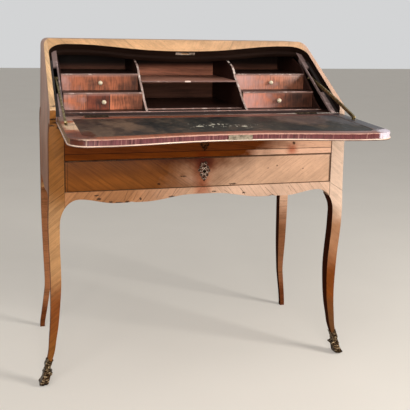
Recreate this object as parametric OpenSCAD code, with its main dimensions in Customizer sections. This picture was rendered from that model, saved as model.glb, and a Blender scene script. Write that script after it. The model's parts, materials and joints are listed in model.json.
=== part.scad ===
// Slant-front writing desk on four cabriole legs, shown with its fall open.
// Heights run up from the floor. The inner modules measure y back from the front plane.

/* [Carcass] */
// Width over the front posts
desk_w = 850; // [800:1:920]
// Depth from the front plane to the back
desk_d = 438; // [400:1:480]
// Height of the top
desk_h = 952; // [930:1:980]
// Height of the top above the writing surface
upper_h = 196; // [186:1:204]
// Setback of the top's front edge from the front plane
slope_run = 304; // [290:1:310]
// Thickness of the side panels
side_t = 20; // [18:1:22]
// Thickness of the back panel
back_t = 12; // [8:1:14]
// Thickness of the top board
top_t = 12; // [8:1:14]
// Thickness of the writing floor
floor_t = 20; // [18:1:22]
// Radius of the nose where each side meets the slope
nose_r = 14; // [4:1:20]
// How far each side leans in at the top
lean_top = 8; // [4:0.5:9]
// How far each side leans in at the writing floor
lean_low = 3; // [1:0.5:4]
// Distance below the writing floor at which the sides start to lean in
lean_drop = 46; // [30:1:70]
// Radius of the rounded top corner of each side
corner_r = 20; // [8:1:24]

/* [Front] */
// Width of the front posts
post_w = 40; // [38:1:44]
// Width of the rear posts
rear_post_w = 34; // [33:1:38]
// Height of the frieze below the writing floor
frieze_h = 81; // [60:1:90]
// Height of the main drawer's opening
opening_h = 84; // [70:1:88]
// Height of the rail above the main drawer
rail_h = 18; // [14:1:20]
// Depth of the rail above the main drawer
rail_d = 40; // [30:1:45]
// Thickness of the frieze
frieze_t = 18; // [14:1:22]
// Thickness of the front apron
apron_t = 22; // [18:1:26]
// Depth of the apron at its middle
apron_mid = 19.5; // [16:0.5:24]
// Depth of the apron at its two lobes
apron_lobe = 35.5; // [30:0.5:40]
// Depth of the apron at its shoulders
apron_shoulder = 21.5; // [18:0.5:26]
// Depth of the small cusp cut in each lobe
cusp_h = 2.5; // [0:0.5:4]
// Depth of the side aprons at their middle lobe
side_lobe = 33; // [28:1:40]

/* [Legs] */
// Width of a leg just below its knee
knee_w = 26; // [22:1:30]
// Height of the arched corner between leg and apron
arch_h = 70; // [60:1:80]
// Reach of the arched corner along the apron
arch_reach = 52; // [44:1:60]
// Height of the bronze shoes
shoe_h = 84; // [60:1:90]
// Thickness of the bronze shoes
shoe_t = 2.5; // [1.5:0.5:4]

/* [Fall] */
// Thickness of the fall
fall_t = 18; // [16:0.5:20]
// Angle by which the open fall hangs below level
fall_droop = 2; // [0:0.5:4]
// Gap between the closed fall and its opening
fall_gap = 1.5; // [1:0.25:3]
// Depth of the top rail at its middle, along the slope
band_mid = 64; // [58:1:70]
// Depth of the top rail at its two hollows, along the slope
band_low = 29; // [28:1:32]
// Radius of the opening's two top corners
band_r = 50; // [40:1:56]
// Width of the rebate below the top rail
rebate_w = 12; // [8:1:16]
// Width of the side ledges that the closed fall rests on
ledge_w = 24; // [22:1:26]
// Thickness of the side ledges
ledge_t = 8; // [6:0.5:9]
// Width of the lip round the outer face of the fall
lip_w = 2; // [1:0.5:3]
// Thickness of the lip
lip_t = 4; // [2:0.5:6]
// Width of the crossbanding round the leather
banding_w = 38; // [30:1:46]
// Thickness of the crossbanding
banding_t = 2; // [1.6:0.1:3]
// Thickness of the leather
leather_t = 1.4; // [0.8:0.1:1.5]
// Radius of the hinge knuckles
knuckle_r = 2.4; // [2:0.1:2.6]
// Radius of the hinge pins
pin_r = 1.2; // [0.8:0.1:1.4]
// Length of each fall hinge
hinge_l = 64; // [40:1:80]
// Width of one hinge leaf
leaf_w = 24; // [16:1:30]
// Offset of the fall's lock from the middle of the desk
lock_x = 5; // [-20:1:20]
// Distance of each hinge from the middle of the desk
hinge_x = 300; // [240:1:330]

/* [Stays] */
// Distance of each stay from the desk's outer face
stay_inset = 34; // [33:0.5:35]
// Distance of the stay's pivot from the fall's hinge line
stay_r = 118; // [112:1:122]
// Width of the stay's bar
stay_w = 9; // [7:0.5:10]
// Thickness of the stay's bar
stay_t = 4.5; // [3:0.5:5]
// Angle at which the open stay dips below the slope of the ledge
stay_dip = 14.1; // [13.5:0.1:14.5]
// Share of the fall's turn that the stay follows
stay_follow = 0.27; // [0.26:0.005:0.28]
// Radius of the pin that stops the stay behind its ledge
stop_r = 4; // [3:0.5:4.5]
// Rise of the stay's bend above its chord
stay_bow = 4; // [0:0.5:6]
// Distance from the pivot's place in the closed desk to the slot's lower end
slot_front = 14; // [8:1:18]
// Clearance between the stay and the slot's upper end
slot_clear = 9; // [6:0.5:12]
// Width of the ledge's slot
slot_w = 11; // [10:0.5:13]

/* [Nest] */
// Thickness of the nest's bottom board
nest_bottom_t = 2.4; // [2:0.1:3]
// Thickness of the nest's end panels
nest_end_t = 6; // [4:0.5:8]
// Thickness of the two dividers
divider_t = 6; // [4:0.5:8]
// Distance of each divider's outer face from the desk's outer face
divider_inset = 274; // [250:1:290]
// Thickness of the shelves
shelf_t = 4; // [3:0.5:5]
// Height of a small drawer's front
small_h = 43.5; // [40:0.5:45]
// Setback of the lower small drawers from the front plane
lower_y = 125; // [115:1:135]
// Setback of the upper small drawers from the front plane
upper_y = 198; // [190:1:206]
// Height of the centre shelf above the writing surface
centre_shelf_h = 76; // [60:1:90]
// Setback of the centre shelf from the front plane
centre_shelf_y = 170; // [160:1:185]
// Thickness of the raised floor in the centre
centre_floor_t = 2.6; // [2:0.2:5]
// Setback of the raised floor in the centre
centre_floor_y = 118; // [100:1:140]

/* [Drawers] */
// Gap round each drawer front
front_gap = 0.8; // [0.5:0.1:1.5]
// Thickness of the main drawer's front
drawer_front_t = 20; // [16:1:24]
// Thickness of the main drawer's sides
drawer_side_t = 10; // [8:1:12]
// Thickness of the main drawer's bottom
drawer_bottom_t = 6; // [4:1:8]
// How far the main drawer pulls out
drawer_travel = 300; // [200:5:320]
// Thickness of a small drawer's front
small_front_t = 7; // [5:0.5:9]
// Thickness of a small drawer's sides and bottom
small_wall_t = 4; // [3:0.5:5]
// Diameter of the bone knobs
knob_d = 13; // [10:0.5:16]
// Height of a bronze keyhole mount
mount_h = 55; // [48:1:60]
// Height of the drawer mount's middle above the drawer's opening
drawer_mount_rise = 45; // [37:1:51]
// Height of the frieze mount's middle above the rail
frieze_mount_rise = 28; // [27:1:39]

/* [Hidden] */
$fn = 48;
hw = desk_w / 2;
inner_hw = hw - side_t;
opening_hw = hw - post_w;
writing_z = desk_h - upper_h;
carcass_z = writing_z - floor_t;
frieze_z = carcass_z - frieze_h;
rail_z = frieze_z - rail_h;
opening_z = rail_z - opening_h;
back_y = desk_d - back_t;
rear_post_y = desk_d - rear_post_w;
seat_gap = 0.4;
hinge_y = 2;

// The slope passes the fall's thickness above the hinge line and ends at the top's front edge.
rise = desk_h - writing_z;
reach = slope_run - hinge_y;
slope = atan(rise / reach) - asin(fall_t / sqrt(rise * rise + reach * reach));
nose_z = desk_h - slope_run * tan(slope);
slope_len = slope_run / cos(slope);
hinge_s = hinge_y * cos(slope) + (writing_z - nose_z) * sin(slope);
rebate_d = fall_t + seat_gap;

// The whole object's front and back, which centre it on the origin.
fall_end_s = slope_len - band_low - fall_gap;
fall_reach = fall_end_s - hinge_s;
foot_kick = 3;
front_end = hinge_y - fall_reach * cos(fall_droop) + (fall_t - lip_t) * sin(fall_droop);
back_end = desk_d + foot_kick;
front_y = -(front_end + back_end) / 2;

// The arched corner's centre, measured from the post's outer face.
drawer_mount_z = opening_z + drawer_mount_rise;
frieze_mount_z = frieze_z + frieze_mount_rise;
arch_x = knee_w + arch_reach;
arch_z = opening_z - apron_shoulder - arch_h;
leg_k = knee_w / 26;
knee_d = min(34 * leg_k, post_w - 1);
rear_knee_w = min(31 * leg_k, rear_post_w - 1);
rear_knee_d = min(32 * leg_k, rear_post_w - 1);
leg_out = 60 * leg_k;
leg_in = 100 * leg_k;
stop_clear = 0.7;
lean_z = carcass_z - lean_drop;
lean_nose = lean_low + (lean_top - lean_low) / 3;
knee_z = arch_z + arch_h / 8;
sole_t = 6;

// Half width of the fall's opening and where the side ledges end under the top rail.
ledge_end_s = slope_len - band_low - band_r - rebate_w;

// The nest's walls and levels.
end_x = hw - side_t - ledge_w;
bay_x = end_x - nest_end_t;
divider_x = hw - divider_inset;
nest_z = writing_z + nest_bottom_t;
small_gap = 0.4;
lower_z = nest_z + small_gap;
lower_shelf_z = lower_z + small_h + small_gap;
upper_z = lower_shelf_z + shelf_t + small_gap;
upper_shelf_z = upper_z + small_h + small_gap;
side_gap = 0.6;
bay_w = bay_x - divider_x;
bay_mid = (bay_x + divider_x) / 2;
small_back_y = back_y - 8;

// The stay's pivot when the fall is open.
pivot_h = 5;
pivot_pin_r = 1.6;
running = 0.05;
pivot_y = hinge_y - stay_r * cos(fall_droop) - pivot_h * sin(fall_droop);
pivot_z = writing_z - stay_r * sin(fall_droop) + pivot_h * cos(fall_droop);
stay_angle = slope - stay_dip;
closing = 180 + fall_droop - slope;

// With the fall turned by a share t of its closing angle, how far along the slope and how deep
// below the closed fall's inner face the pivot lies, and the stay's dip below the slope.
function pivot_along(t) = stay_r * cos((1 - t) * closing) + pivot_h * sin((1 - t) * closing);
function pivot_deep(t) = -stay_r * sin((1 - t) * closing) + pivot_h * cos((1 - t) * closing);
function dip(t) = stay_dip + stay_follow * t * closing;
function crossing(t, deep) = pivot_along(t) + (deep - pivot_deep(t)) / tan(dip(t));
stops = [for (i = [0 : 48])
    (seat_gap + ledge_t + stop_r + stop_clear - pivot_deep(i / 48)) / sin(dip(i / 48))];
stay_l = max(stops);
crossings = [for (i = [0 : 24]) crossing(i / 24, seat_gap + ledge_t) + stay_w / 2 / sin(dip(i / 24))];
slot_from = stay_r - slot_front;
slot_to = max(crossings) + slot_clear;

// The lock in the fall.
lock_l = 60;
lock_case_l = 56;
lock_case_w = 32;
lock_case_t = 9;
plate_t = 2;
bolt_l = 12;
bolt_t = 4;
bolt_w = 22;
bolt_travel = 6;
bolt_fit = 0.3;

// A smooth curve through a list of points, n steps to each stretch.
function curve_at(a, b, c, d, t) =
    0.5 * (2 * b + (c - a) * t + (2 * a - 5 * b + 4 * c - d) * t * t
    + (3 * b - a - 3 * c + d) * t * t * t);
function curve(p, n) = [
    for (i = [0 : len(p) - 2], k = [0 : n - 1])
        curve_at(p[max(i - 1, 0)], p[i], p[i + 1], p[min(i + 2, len(p) - 1)], k / n),
    p[len(p) - 1]
];
function reversed(p) = [for (i = [len(p) - 1 : -1 : 0]) p[i]];
function arc(x, y, r, from, to, n) = [
    for (i = [0 : n]) [x + r * cos(from + (to - from) * i / n), y + r * sin(from + (to - from) * i / n)]
];

// Depth of the front apron below the drawer's opening at a distance from the middle.
lobe_from = 172;
lobe_to = 248;
cusp_x = 205;
shoulder_x = hw - arch_x;
function ease(t) = (1 - cos(180 * max(0, min(1, t)))) / 2;
function apron_depth(x) =
    x < lobe_from
    ? apron_mid + (apron_lobe - apron_mid) * ease((x - 30) / (lobe_from - 30))
    : x < lobe_to
    ? apron_lobe - cusp_h * max(0, 1 - abs(x - cusp_x) / 9)
    : apron_lobe + (apron_shoulder - apron_lobe) * ease((x - lobe_to) / (shoulder_x - lobe_to));

// Depth of the top rail along the slope, and the outline of the opening's top.
corner_x = inner_hw - band_r;
function band_depth(x) = (band_mid + band_low) / 2
    + (band_mid - band_low) / 2 * cos(180 * pow(min(1, x / (corner_x - 25)), 1.25));
function half_edge(inset) = concat(
    [for (i = [0 : 20]) [corner_x * i / 20, slope_len - band_depth(corner_x * i / 20) - inset]],
    arc(corner_x, slope_len - band_low - band_r, band_r - inset, 82.5, 0, 10)
);
function mirrored(p) = [for (q = reversed(p)) [-q[0], q[1]]];

// Leg outlines as [offset from the post's outer face, height], top down. Heights above the
// foot are shares of the arch's height, and those in the foot are shares of the shoe's.
function wide(p) = [for (q = p) [q[0] * leg_k, q[1]]];
function front_out() = curve(concat([[lean_low, carcass_z], [0, lean_z]], wide([
    [-1, opening_z + 7], [-4, knee_z], [-3, 0.87 * arch_z], [0, 0.71 * arch_z],
    [0, 0.49 * arch_z], [-2, 0.37 * arch_z], [-5, 0.286 * arch_z], [-8, 1.12 * shoe_h],
    [-14, 0.77 * shoe_h], [-22, 0.36 * shoe_h], [-28, 0]
])), 4);
function front_in() = curve(wide([
    [26, arch_z], [26, 0.87 * arch_z], [28, 0.74 * arch_z], [28.5, 0.62 * arch_z],
    [25, 0.49 * arch_z], [20, 0.37 * arch_z], [14, 0.286 * arch_z], [8, 1.12 * shoe_h],
    [-3, 0.71 * shoe_h], [-10, 0.36 * shoe_h], [-17, 0]
]), 4);
function front_fore() = curve(wide([
    [0, knee_z], [3, 0.87 * arch_z], [12, 0.65 * arch_z], [18, 0.49 * arch_z],
    [20, 0.347 * arch_z], [19, 0.24 * arch_z], [17, 0.77 * shoe_h], [15, 0.36 * shoe_h], [14, 0]
]), 4);
function front_aft() = curve(concat([[knee_d, arch_z]], wide([
    [38, 0.87 * arch_z], [46, 0.65 * arch_z], [49, 0.49 * arch_z], [47, 0.347 * arch_z],
    [42, 0.24 * arch_z], [38, 0.77 * shoe_h], [36, 0.36 * shoe_h], [35, 0]
])), 4);
function rear_out() = curve(concat([[lean_low, carcass_z], [0, lean_z]], wide([
    [0, knee_z], [0, 0.85 * arch_z], [4, 0.55 * arch_z], [7, 0.34 * arch_z], [3, 0.24 * arch_z],
    [-3, 0.137 * arch_z], [-9, 0.04 * arch_z], [-10, 0]
])), 4);
function rear_in() = curve(concat([[rear_knee_w, arch_z]], wide([
    [30, 0.85 * arch_z], [29, 0.55 * arch_z], [25, 0.34 * arch_z], [20, 0.24 * arch_z],
    [13, 0.137 * arch_z], [6, 0.04 * arch_z], [5, 0]
])), 4);
function rear_aft() = curve(concat(wide([
    [0, knee_z], [1, 0.85 * arch_z], [5, 0.55 * arch_z], [8, 0.34 * arch_z],
    [5, 0.137 * arch_z], [-1, 0.04 * arch_z]
]), [[-foot_kick, 0]]), 4);
function rear_fore() = curve(concat([[rear_knee_d, arch_z]], wide([
    [31, 0.85 * arch_z], [32, 0.55 * arch_z], [27, 0.34 * arch_z], [20, 0.137 * arch_z],
    [14, 0.04 * arch_z], [13, 0]
])), 4);
// The arched corner that joins a leg of width w to an apron, cut off at the post's width.
function arch(w, post) = [
    for (i = [12 : -1 : 0])
        let (x = w + (min(post, arch_x) - w) * i / 12)
        [x, arch_z + arch_h * sqrt(max(0, 1 - pow((w + arch_reach - x) / arch_reach, 2)))]
];

// Bodies of pieces placed from the front plane.
module at_front() {
    translate([0, front_y, 0]) children();
}
module in_xz(y0, y1) {
    translate([0, y1, 0]) rotate([90, 0, 0]) linear_extrude(y1 - y0) children();
}
module in_yz(x0, x1) {
    translate([x0, 0, 0]) rotate([90, 0, 90]) linear_extrude(x1 - x0) children();
}
module block(x0, x1, y0, y1, z0, z1) {
    translate([x0, y0, z0]) cube([x1 - x0, y1 - y0, z1 - z0]);
}
module both_sides() {
    children();
    mirror([1, 0, 0]) children();
}
// A layer parallel to the slope, from one depth below its face to another.
module on_slope(d0, d1) {
    translate([0, 0, nose_z]) rotate([slope, 0, 0]) translate([0, 0, -d1]) linear_extrude(d1 - d0)
        children();
}
// The open fall's own frame: y out from the hinge line, z from the leather to the outer face.
module in_fall() {
    translate([0, hinge_y, writing_z]) rotate([180 + fall_droop, 0, 0]) children();
}

// Outline of a side panel between the two legs and up to the top.
module side_outline() {
    tangent = nose_r * tan((90 - slope) / 2);
    y0 = knee_d + arch_reach;
    y1 = desk_d - rear_knee_d - arch_reach;
    front_arch = [
        for (i = [0 : 10])
            let (x = post_w + (y0 - post_w) * i / 10)
            [x, arch_z + arch_h * sqrt(max(0, 1 - pow((y0 - x) / arch_reach, 2)))]
    ];
    rear_arch = [
        for (i = [10 : -1 : 0])
            let (x = rear_post_w + (desk_d - y1 - rear_post_w) * i / 10)
            [desk_d - x, arch_z + arch_h * sqrt(max(0, 1 - pow((desk_d - y1 - x) / arch_reach, 2)))]
    ];
    belly = [
        for (i = [1 : 15])
            [y0 + (y1 - y0) * i / 16,
            opening_z - apron_shoulder - (side_lobe - apron_shoulder) * (1 - cos(360 * i / 16)) / 2]
    ];
    polygon(concat(
        [[0, carcass_z]],
        [[post_w, carcass_z]],
        front_arch,
        belly,
        rear_arch,
        [[rear_post_y, carcass_z], [desk_d, carcass_z], [desk_d, desk_h]],
        [[slope_run, desk_h]],
        arc(nose_r, nose_z - tangent, nose_r, 90 + slope, 180, 8)
    ));
}
// What the inward lean takes off the outer face of the left side, and the rounded top corner.
module lean_cut() {
    in_xz(-1, desk_d + 1) polygon(concat(
        [[-hw - 5, lean_z]],
        [[-hw, lean_z], [-hw + lean_low, carcass_z], [-hw + lean_nose, nose_z + nose_r]],
        [[-hw + lean_top, desk_h - corner_r]],
        arc(-hw + lean_top + corner_r, desk_h - corner_r, corner_r, 180, 90, 6),
        [[-hw + lean_top + corner_r, desk_h + 5], [-hw - 5, desk_h + 5]]
    ));
}
module side_panel() {
    difference() {
        in_yz(-hw, -inner_hw) side_outline();
        lean_cut();
    }
}
module left_side_panel() {
    color("#b3906b") at_front() side_panel();
}
module right_side_panel() {
    color("#b3906b") at_front() mirror([1, 0, 0]) side_panel();
}

// Board behind the desk, between the rear posts and, above them, between the side panels.
module back_panel() {
    low = hw - rear_post_w;
    base = opening_z - apron_shoulder;
    color("#6b4a33") at_front() in_xz(back_y, desk_d) polygon([
        [-low, base], [low, base], [low, carcass_z], [inner_hw, carcass_z],
        [inner_hw, desk_h - top_t], [-inner_hw, desk_h - top_t], [-inner_hw, carcass_z],
        [-low, carcass_z]
    ]);
}

// Narrow top, bevelled in front to meet the back of the sloping rail.
module top_board() {
    front = slope_run + rebate_d / sin(slope);
    color("#c08f5c") at_front() difference() {
        in_yz(-inner_hw, inner_hw) polygon([
            [front, desk_h], [front - top_t / tan(slope), desk_h - top_t], [desk_d, desk_h - top_t],
            [desk_d, desk_h]
        ]);
        lean_cut();
        mirror([1, 0, 0]) lean_cut();
    }
}

// Sloping rail with the scalloped edge that the fall's free edge fits.
module top_rail() {
    half = half_edge(0);
    color("#d8a566") at_front() difference() {
        on_slope(0, rebate_d) polygon(concat(
            mirrored(half), half, [[inner_hw, slope_len + 60], [-inner_hw, slope_len + 60]]
        ));
        block(-hw, hw, 0, desk_d, desk_h, desk_h + 80);
        lean_cut();
        mirror([1, 0, 0]) lean_cut();
        strike_cut();
    }
}
// Inner rail behind it, which makes the rebate that stops the fall.
module top_stop_rail() {
    step_x = inner_hw - ledge_w;
    half = [
        for (i = [0 : 20])
            let (x = corner_x * i / 20)
            [x, slope_len - band_depth(x) - rebate_w]
    ];
    bend = [
        for (a = [82.5 : -7.5 : 0])
            let (x = corner_x + band_r * cos(a))
            if (x < step_x) [x, slope_len - band_low - band_r * (1 - sin(a)) - rebate_w]
    ];
    edge = concat(half, bend, [[step_x, ledge_end_s], [inner_hw, ledge_end_s]]);
    color("#5b3524") at_front() intersection() {
        on_slope(rebate_d, rebate_d + 12) polygon(concat(
            mirrored(edge), edge, [[inner_hw, slope_len + 60], [-inner_hw, slope_len + 60]]
        ));
        block(-hw, hw, 0, desk_d, 0, desk_h - top_t);
    }
}

// Brass plate let into the rail's edge, with the hole that takes the fall's bolt.
strike_l = 60;
strike_t = 1.6;
strike_s = slope_len - band_mid;
module strike_bar(top) {
    translate([lock_x - strike_l / 2, strike_s - 1, -fall_t / 2 - bolt_t])
        cube([strike_l, top + 1, 2 * bolt_t]);
}
module bolt_hole(depth) {
    translate([lock_x - bolt_w / 2 - 1, strike_s - 2, -fall_t / 2 - bolt_t / 2 - 1])
        cube([bolt_w + 2, depth + 2, bolt_t + 2]);
}
module strike_cut() {
    translate([0, 0, nose_z]) rotate([slope, 0, 0]) {
        strike_bar(strike_t);
        bolt_hole(bolt_l);
    }
}
module strike_plate() {
    color("#9b8a4f") at_front() translate([0, 0, nose_z]) rotate([slope, 0, 0]) difference() {
        intersection() {
            strike_bar(strike_t);
            translate([-hw, strike_s, -fall_t]) cube([desk_w, fall_t, fall_t]);
        }
        bolt_hole(bolt_l);
    }
}

// Front leg with its post: the outline seen from the front crossed with that seen from the side.
module front_leg() {
    intersection() {
        in_xz(-leg_out, leg_in) translate([-hw, 0]) polygon(concat(
            front_out(), reversed(front_in()), reversed(arch(knee_w, post_w)),
            [[post_w, carcass_z]]
        ));
        in_yz(-hw - leg_out, -hw + leg_in) polygon(concat(
            [[0, carcass_z]], front_fore(), reversed(front_aft()), reversed(arch(knee_d, post_w)),
            [[post_w, carcass_z]]
        ));
        block(-hw - leg_out, -hw + leg_in, -leg_out, leg_in, sole_t, carcass_z);
    }
}
module rear_leg() {
    intersection() {
        in_xz(desk_d - leg_in, desk_d + leg_out) translate([-hw, 0]) polygon(concat(
            rear_out(), reversed(rear_in()), reversed(arch(rear_knee_w, rear_post_w)),
            [[rear_post_w, carcass_z]]
        ));
        in_yz(-hw - leg_out, -hw + leg_in) translate([desk_d, 0]) mirror([1, 0]) polygon(concat(
            [[0, carcass_z]], rear_aft(), reversed(rear_fore()), reversed(arch(rear_knee_d, rear_post_w)),
            [[rear_post_w, carcass_z]]
        ));
    }
}
module front_left_leg() {
    color("#b8834c") at_front() front_leg();
}
module front_right_leg() {
    color("#b8834c") at_front() mirror([1, 0, 0]) front_leg();
}
module rear_left_leg() {
    color("#8f5d36") at_front() rear_leg();
}
module rear_right_leg() {
    color("#8f5d36") at_front() mirror([1, 0, 0]) rear_leg();
}

// Bronze shoe: a shell round the foot whose leaf rises to a point on the front corner.
module sabot() {
    t = shoe_t / leg_k;
    h = shoe_h;
    outside = curve([[-10 - t, h], [-14 - t, 0.82 * h], [-18 - t, 0.7 * h], [-18 - t, 0.58 * h],
        [-22 - t, 0.45 * h], [-24 - t, 0.32 * h], [-29 - t, 0.2 * h], [-34 - t, 0.11 * h],
        [-31 - t, 0.03 * h], [-24 - t, 0]], 4);
    inside = curve([[-18 + t, 0], [-12 + t, 0.1 * h], [-9 + t, 0.22 * h], [-6 + t, 0.33 * h],
        [-1 + t, 0.39 * h], [-3 + t, 0.46 * h], [-6 + t, 0.52 * h], [-4 + t, 0.66 * h],
        [1 + t, 0.82 * h], [2 + t, 0.88 * h]], 4);
    brow = curve([[2 + t, 0.88 * h], [0, 0.84 * h], [-4, 0.86 * h], [-8, 0.93 * h],
        [-10 - t, h]], 3);
    fore = curve([[18 - t, h], [16 - t, 0.76 * h], [14 - t, 0.57 * h], [13 - t, 0.38 * h],
        [9 - t, 0.24 * h], [8 - t, 0.12 * h], [11 - t, 0.03 * h], [15, 0]], 4);
    aft = curve([[31, 0], [35 + t, 0.07 * h], [35 + t, 0.25 * h], [38 + t, 0.35 * h],
        [40 + t, 0.41 * h], [37 + t, 0.5 * h], [38 + t, 0.7 * h], [39 + t, 0.88 * h]], 4);
    back_brow = curve([[39 + t, 0.88 * h], [33, 0.84 * h], [27, 0.86 * h], [22, 0.93 * h],
        [18 - t, h]], 3);
    difference() {
        intersection() {
            in_xz(-leg_out, leg_in) translate([-hw, 0]) scale([leg_k, 1]) polygon(concat(outside, inside, brow));
            in_yz(-hw - leg_out, -hw + leg_in) scale([leg_k, 1]) polygon(concat(fore, aft, back_brow));
        }
        front_leg();
    }
}
module left_sabot() {
    color("#7b6a48") at_front() sabot();
}
module right_sabot() {
    color("#7b6a48") at_front() mirror([1, 0, 0]) sabot();
}

// Serpentine rail below the main drawer.
module front_apron() {
    n = 72;
    half_steps = [for (i = [0 : n]) shoulder_x * i / n];
    curve_pts = [for (x = half_steps) [x, opening_z - apron_depth(x)]];
    bend = [for (p = arch(knee_w, arch_x)) if (p[0] > post_w && p[0] < arch_x) [hw - p[0], p[1]]];
    end = [[opening_hw, arch(knee_w, post_w)[0][1]]];
    edge = concat(curve_pts, bend, end);
    color("#c99a62") at_front() in_xz(0, apron_t) polygon(concat(
        mirrored(edge), edge, [[opening_hw, opening_z], [-opening_hw, opening_z]]
    ));
}

// Rail above the main drawer, with the mortise that its lock's bolt enters.
module drawer_rail() {
    color("#c08f5c") at_front() difference() {
        block(-opening_hw, opening_hw, 0, rail_d, rail_z, frieze_z);
        block(-bolt_w / 2 - 1, bolt_w / 2 + 1, drawer_bolt_y - 1, drawer_bolt_y + bolt_t + 1,
            rail_z - 1, rail_z + bolt_travel + 2);
    }
}
module frieze() {
    color("#c08f5c") at_front() difference() {
        block(-opening_hw, opening_hw, 0, frieze_t, frieze_z, carcass_z);
        in_xz(-1, 12) translate([0, frieze_mount_z]) keyhole(0.4);
    }
}

// Keyhole and pierced bronze mount, drawn about the keyhole's middle.
module keyhole(grow) {
    translate([0, 3]) circle(r = 2.6 + grow);
    polygon([
        [-1.2 - grow, 3], [1.2 + grow, 3], [1.6 + grow, -6 - grow], [-1.6 - grow, -6 - grow]
    ]);
}
module mount_outline() {
    k = mount_h / 55;
    scale(k) {
        circle(r = 12.5);
        translate([-1, 14]) circle(r = 8.5);
        translate([3, 22]) circle(r = 5);
        translate([-6, 19]) circle(r = 5.2);
        translate([-13, 3]) circle(r = 4.8);
        translate([13, 1]) circle(r = 4.6);
        translate([-10, 11]) circle(r = 4.4);
        translate([10, 10]) circle(r = 4.2);
        translate([-8, -10]) circle(r = 5);
        translate([8, -11]) circle(r = 4.8);
        translate([-1, -16]) circle(r = 7.5);
        translate([3, -20]) circle(r = 4.2);
        polygon([[-6, -18], [6, -18], [1.2, -28], [-1.2, -28]]);
    }
}
module mount_piercings() {
    k = mount_h / 55;
    scale(k) {
        translate([-8.5, 4]) circle(r = 1.9);
        translate([-7.5, -3.5]) circle(r = 2.1);
        translate([8, 2]) circle(r = 2.3);
        translate([-3, 14]) circle(r = 2);
        translate([4, 14.5]) circle(r = 1.7);
        translate([2.5, -17.5]) circle(r = 1.9);
        translate([-3.5, -14]) circle(r = 1.7);
        translate([7.5, -8]) circle(r = 1.5);
    }
}
mount_t = 2.5;
module bronze_mount(z) {
    color("#8d7b55") at_front() in_xz(-mount_t, 0) translate([0, z]) difference() {
        mount_outline();
        mount_piercings();
        keyhole(0);
    }
}
module frieze_escutcheon() {
    bronze_mount(frieze_mount_z);
}

// Board that closes the space over the main drawer.
dust_t = 6;
module dust_board() {
    color("#7d5a3e") at_front()
        block(-inner_hw, inner_hw, rail_d, rear_post_y, rail_z + 4, rail_z + 4 + dust_t);
}

// Runner with its guide, from the apron to the back: the drawer's side rides on it.
runner_t = 12;
runner_gap = 0.3;
runner_w = 22;
guide_h = 22;
box_hw = opening_hw - 1.2;
module runner() {
    block(-inner_hw, -opening_hw + runner_w, apron_t, post_w, opening_z - runner_t, opening_z);
    block(-inner_hw, -opening_hw + runner_w, post_w, rear_post_y, opening_z - runner_t, opening_z);
    block(-inner_hw, -opening_hw, post_w, rear_post_y, opening_z, opening_z + guide_h);
}
module drawer_runners() {
    color("#7d5a3e") at_front() both_sides() difference() {
        runner();
        block(-hw, -opening_hw, 0, post_w, opening_z - runner_t - 1, opening_z + 1);
    }
}

// Floor that carries the nest, notched at both ends where the closed stays hang.
notch_y = 110;
module knuckle_room() {
    translate([0, hinge_y, writing_z]) rotate([0, 90, 0])
        cylinder(h = hinge_l + 1, r = knuckle_r + 0.6, center = true);
}
leaf_t = 1.2;
module writing_floor() {
    color("#6b3b28") at_front() difference() {
        block(-inner_hw, inner_hw, hinge_y + 0.7, back_y, carcass_z, writing_z);
        both_sides() {
            block(-inner_hw - 1, -inner_hw + ledge_w, notch_y, back_y + 1, carcass_z - 1, writing_z + 1);
            translate([hinge_x, 0, 0]) knuckle_room();
            block(hinge_x - hinge_l / 2, hinge_x + hinge_l / 2, 0, hinge_y + leaf_w,
                writing_z - leaf_t, writing_z + 1);
        }
    }
}

// Sloping ledge beside the opening, slotted for the stay.
module ledge() {
    slot_x = -hw + stay_inset;
    difference() {
        intersection() {
            on_slope(rebate_d, rebate_d + ledge_t)
                translate([-inner_hw, -60]) square([ledge_w, ledge_end_s + 60]);
            block(-hw, hw, 0, desk_d, writing_z, desk_h);
        }
        on_slope(rebate_d - 1, rebate_d + ledge_t + 1)
            translate([slot_x - slot_w / 2, hinge_s + slot_from])
            square([slot_w, slot_to - slot_from]);
    }
}
module left_ledge() {
    color("#8a8078") at_front() ledge();
}
module right_ledge() {
    color("#8a8078") at_front() mirror([1, 0, 0]) ledge();
}

// Fall hinges: three knuckles each, the outer two on the floor's leaf, the middle on the fall's.
mid_l = 20;
end_gap = 0.3;
module leaf(outer) {
    clear = knuckle_r + 0.8;
    difference() {
        union() {
            translate([-hinge_l / 2, clear, -leaf_t]) cube([hinge_l, leaf_w - clear, leaf_t]);
            if (outer) {
                for (s = [-1, 1])
                    translate([s * (hinge_l + mid_l) / 4, 0, 0]) tongue((hinge_l - mid_l) / 2, clear);
            } else {
                tongue(mid_l - 2 * end_gap, clear);
            }
        }
        rotate([0, 90, 0]) cylinder(h = hinge_l + 2, r = pin_r + running, center = true);
    }
}
module tongue(l, clear) {
    rotate([0, 90, 0]) cylinder(h = l, r = knuckle_r, center = true);
    translate([-l / 2, 0, -leaf_t]) cube([l, clear + 1, leaf_t]);
}
module floor_hinge_leaves() {
    color("#9b8a4f") at_front() both_sides()
        translate([hinge_x, hinge_y, writing_z]) leaf(true);
}
module hinge_pins() {
    color("#b5a468") at_front() both_sides() translate([hinge_x, hinge_y, writing_z])
        rotate([0, 90, 0]) cylinder(h = hinge_l, r = pin_r, center = true);
}

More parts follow.
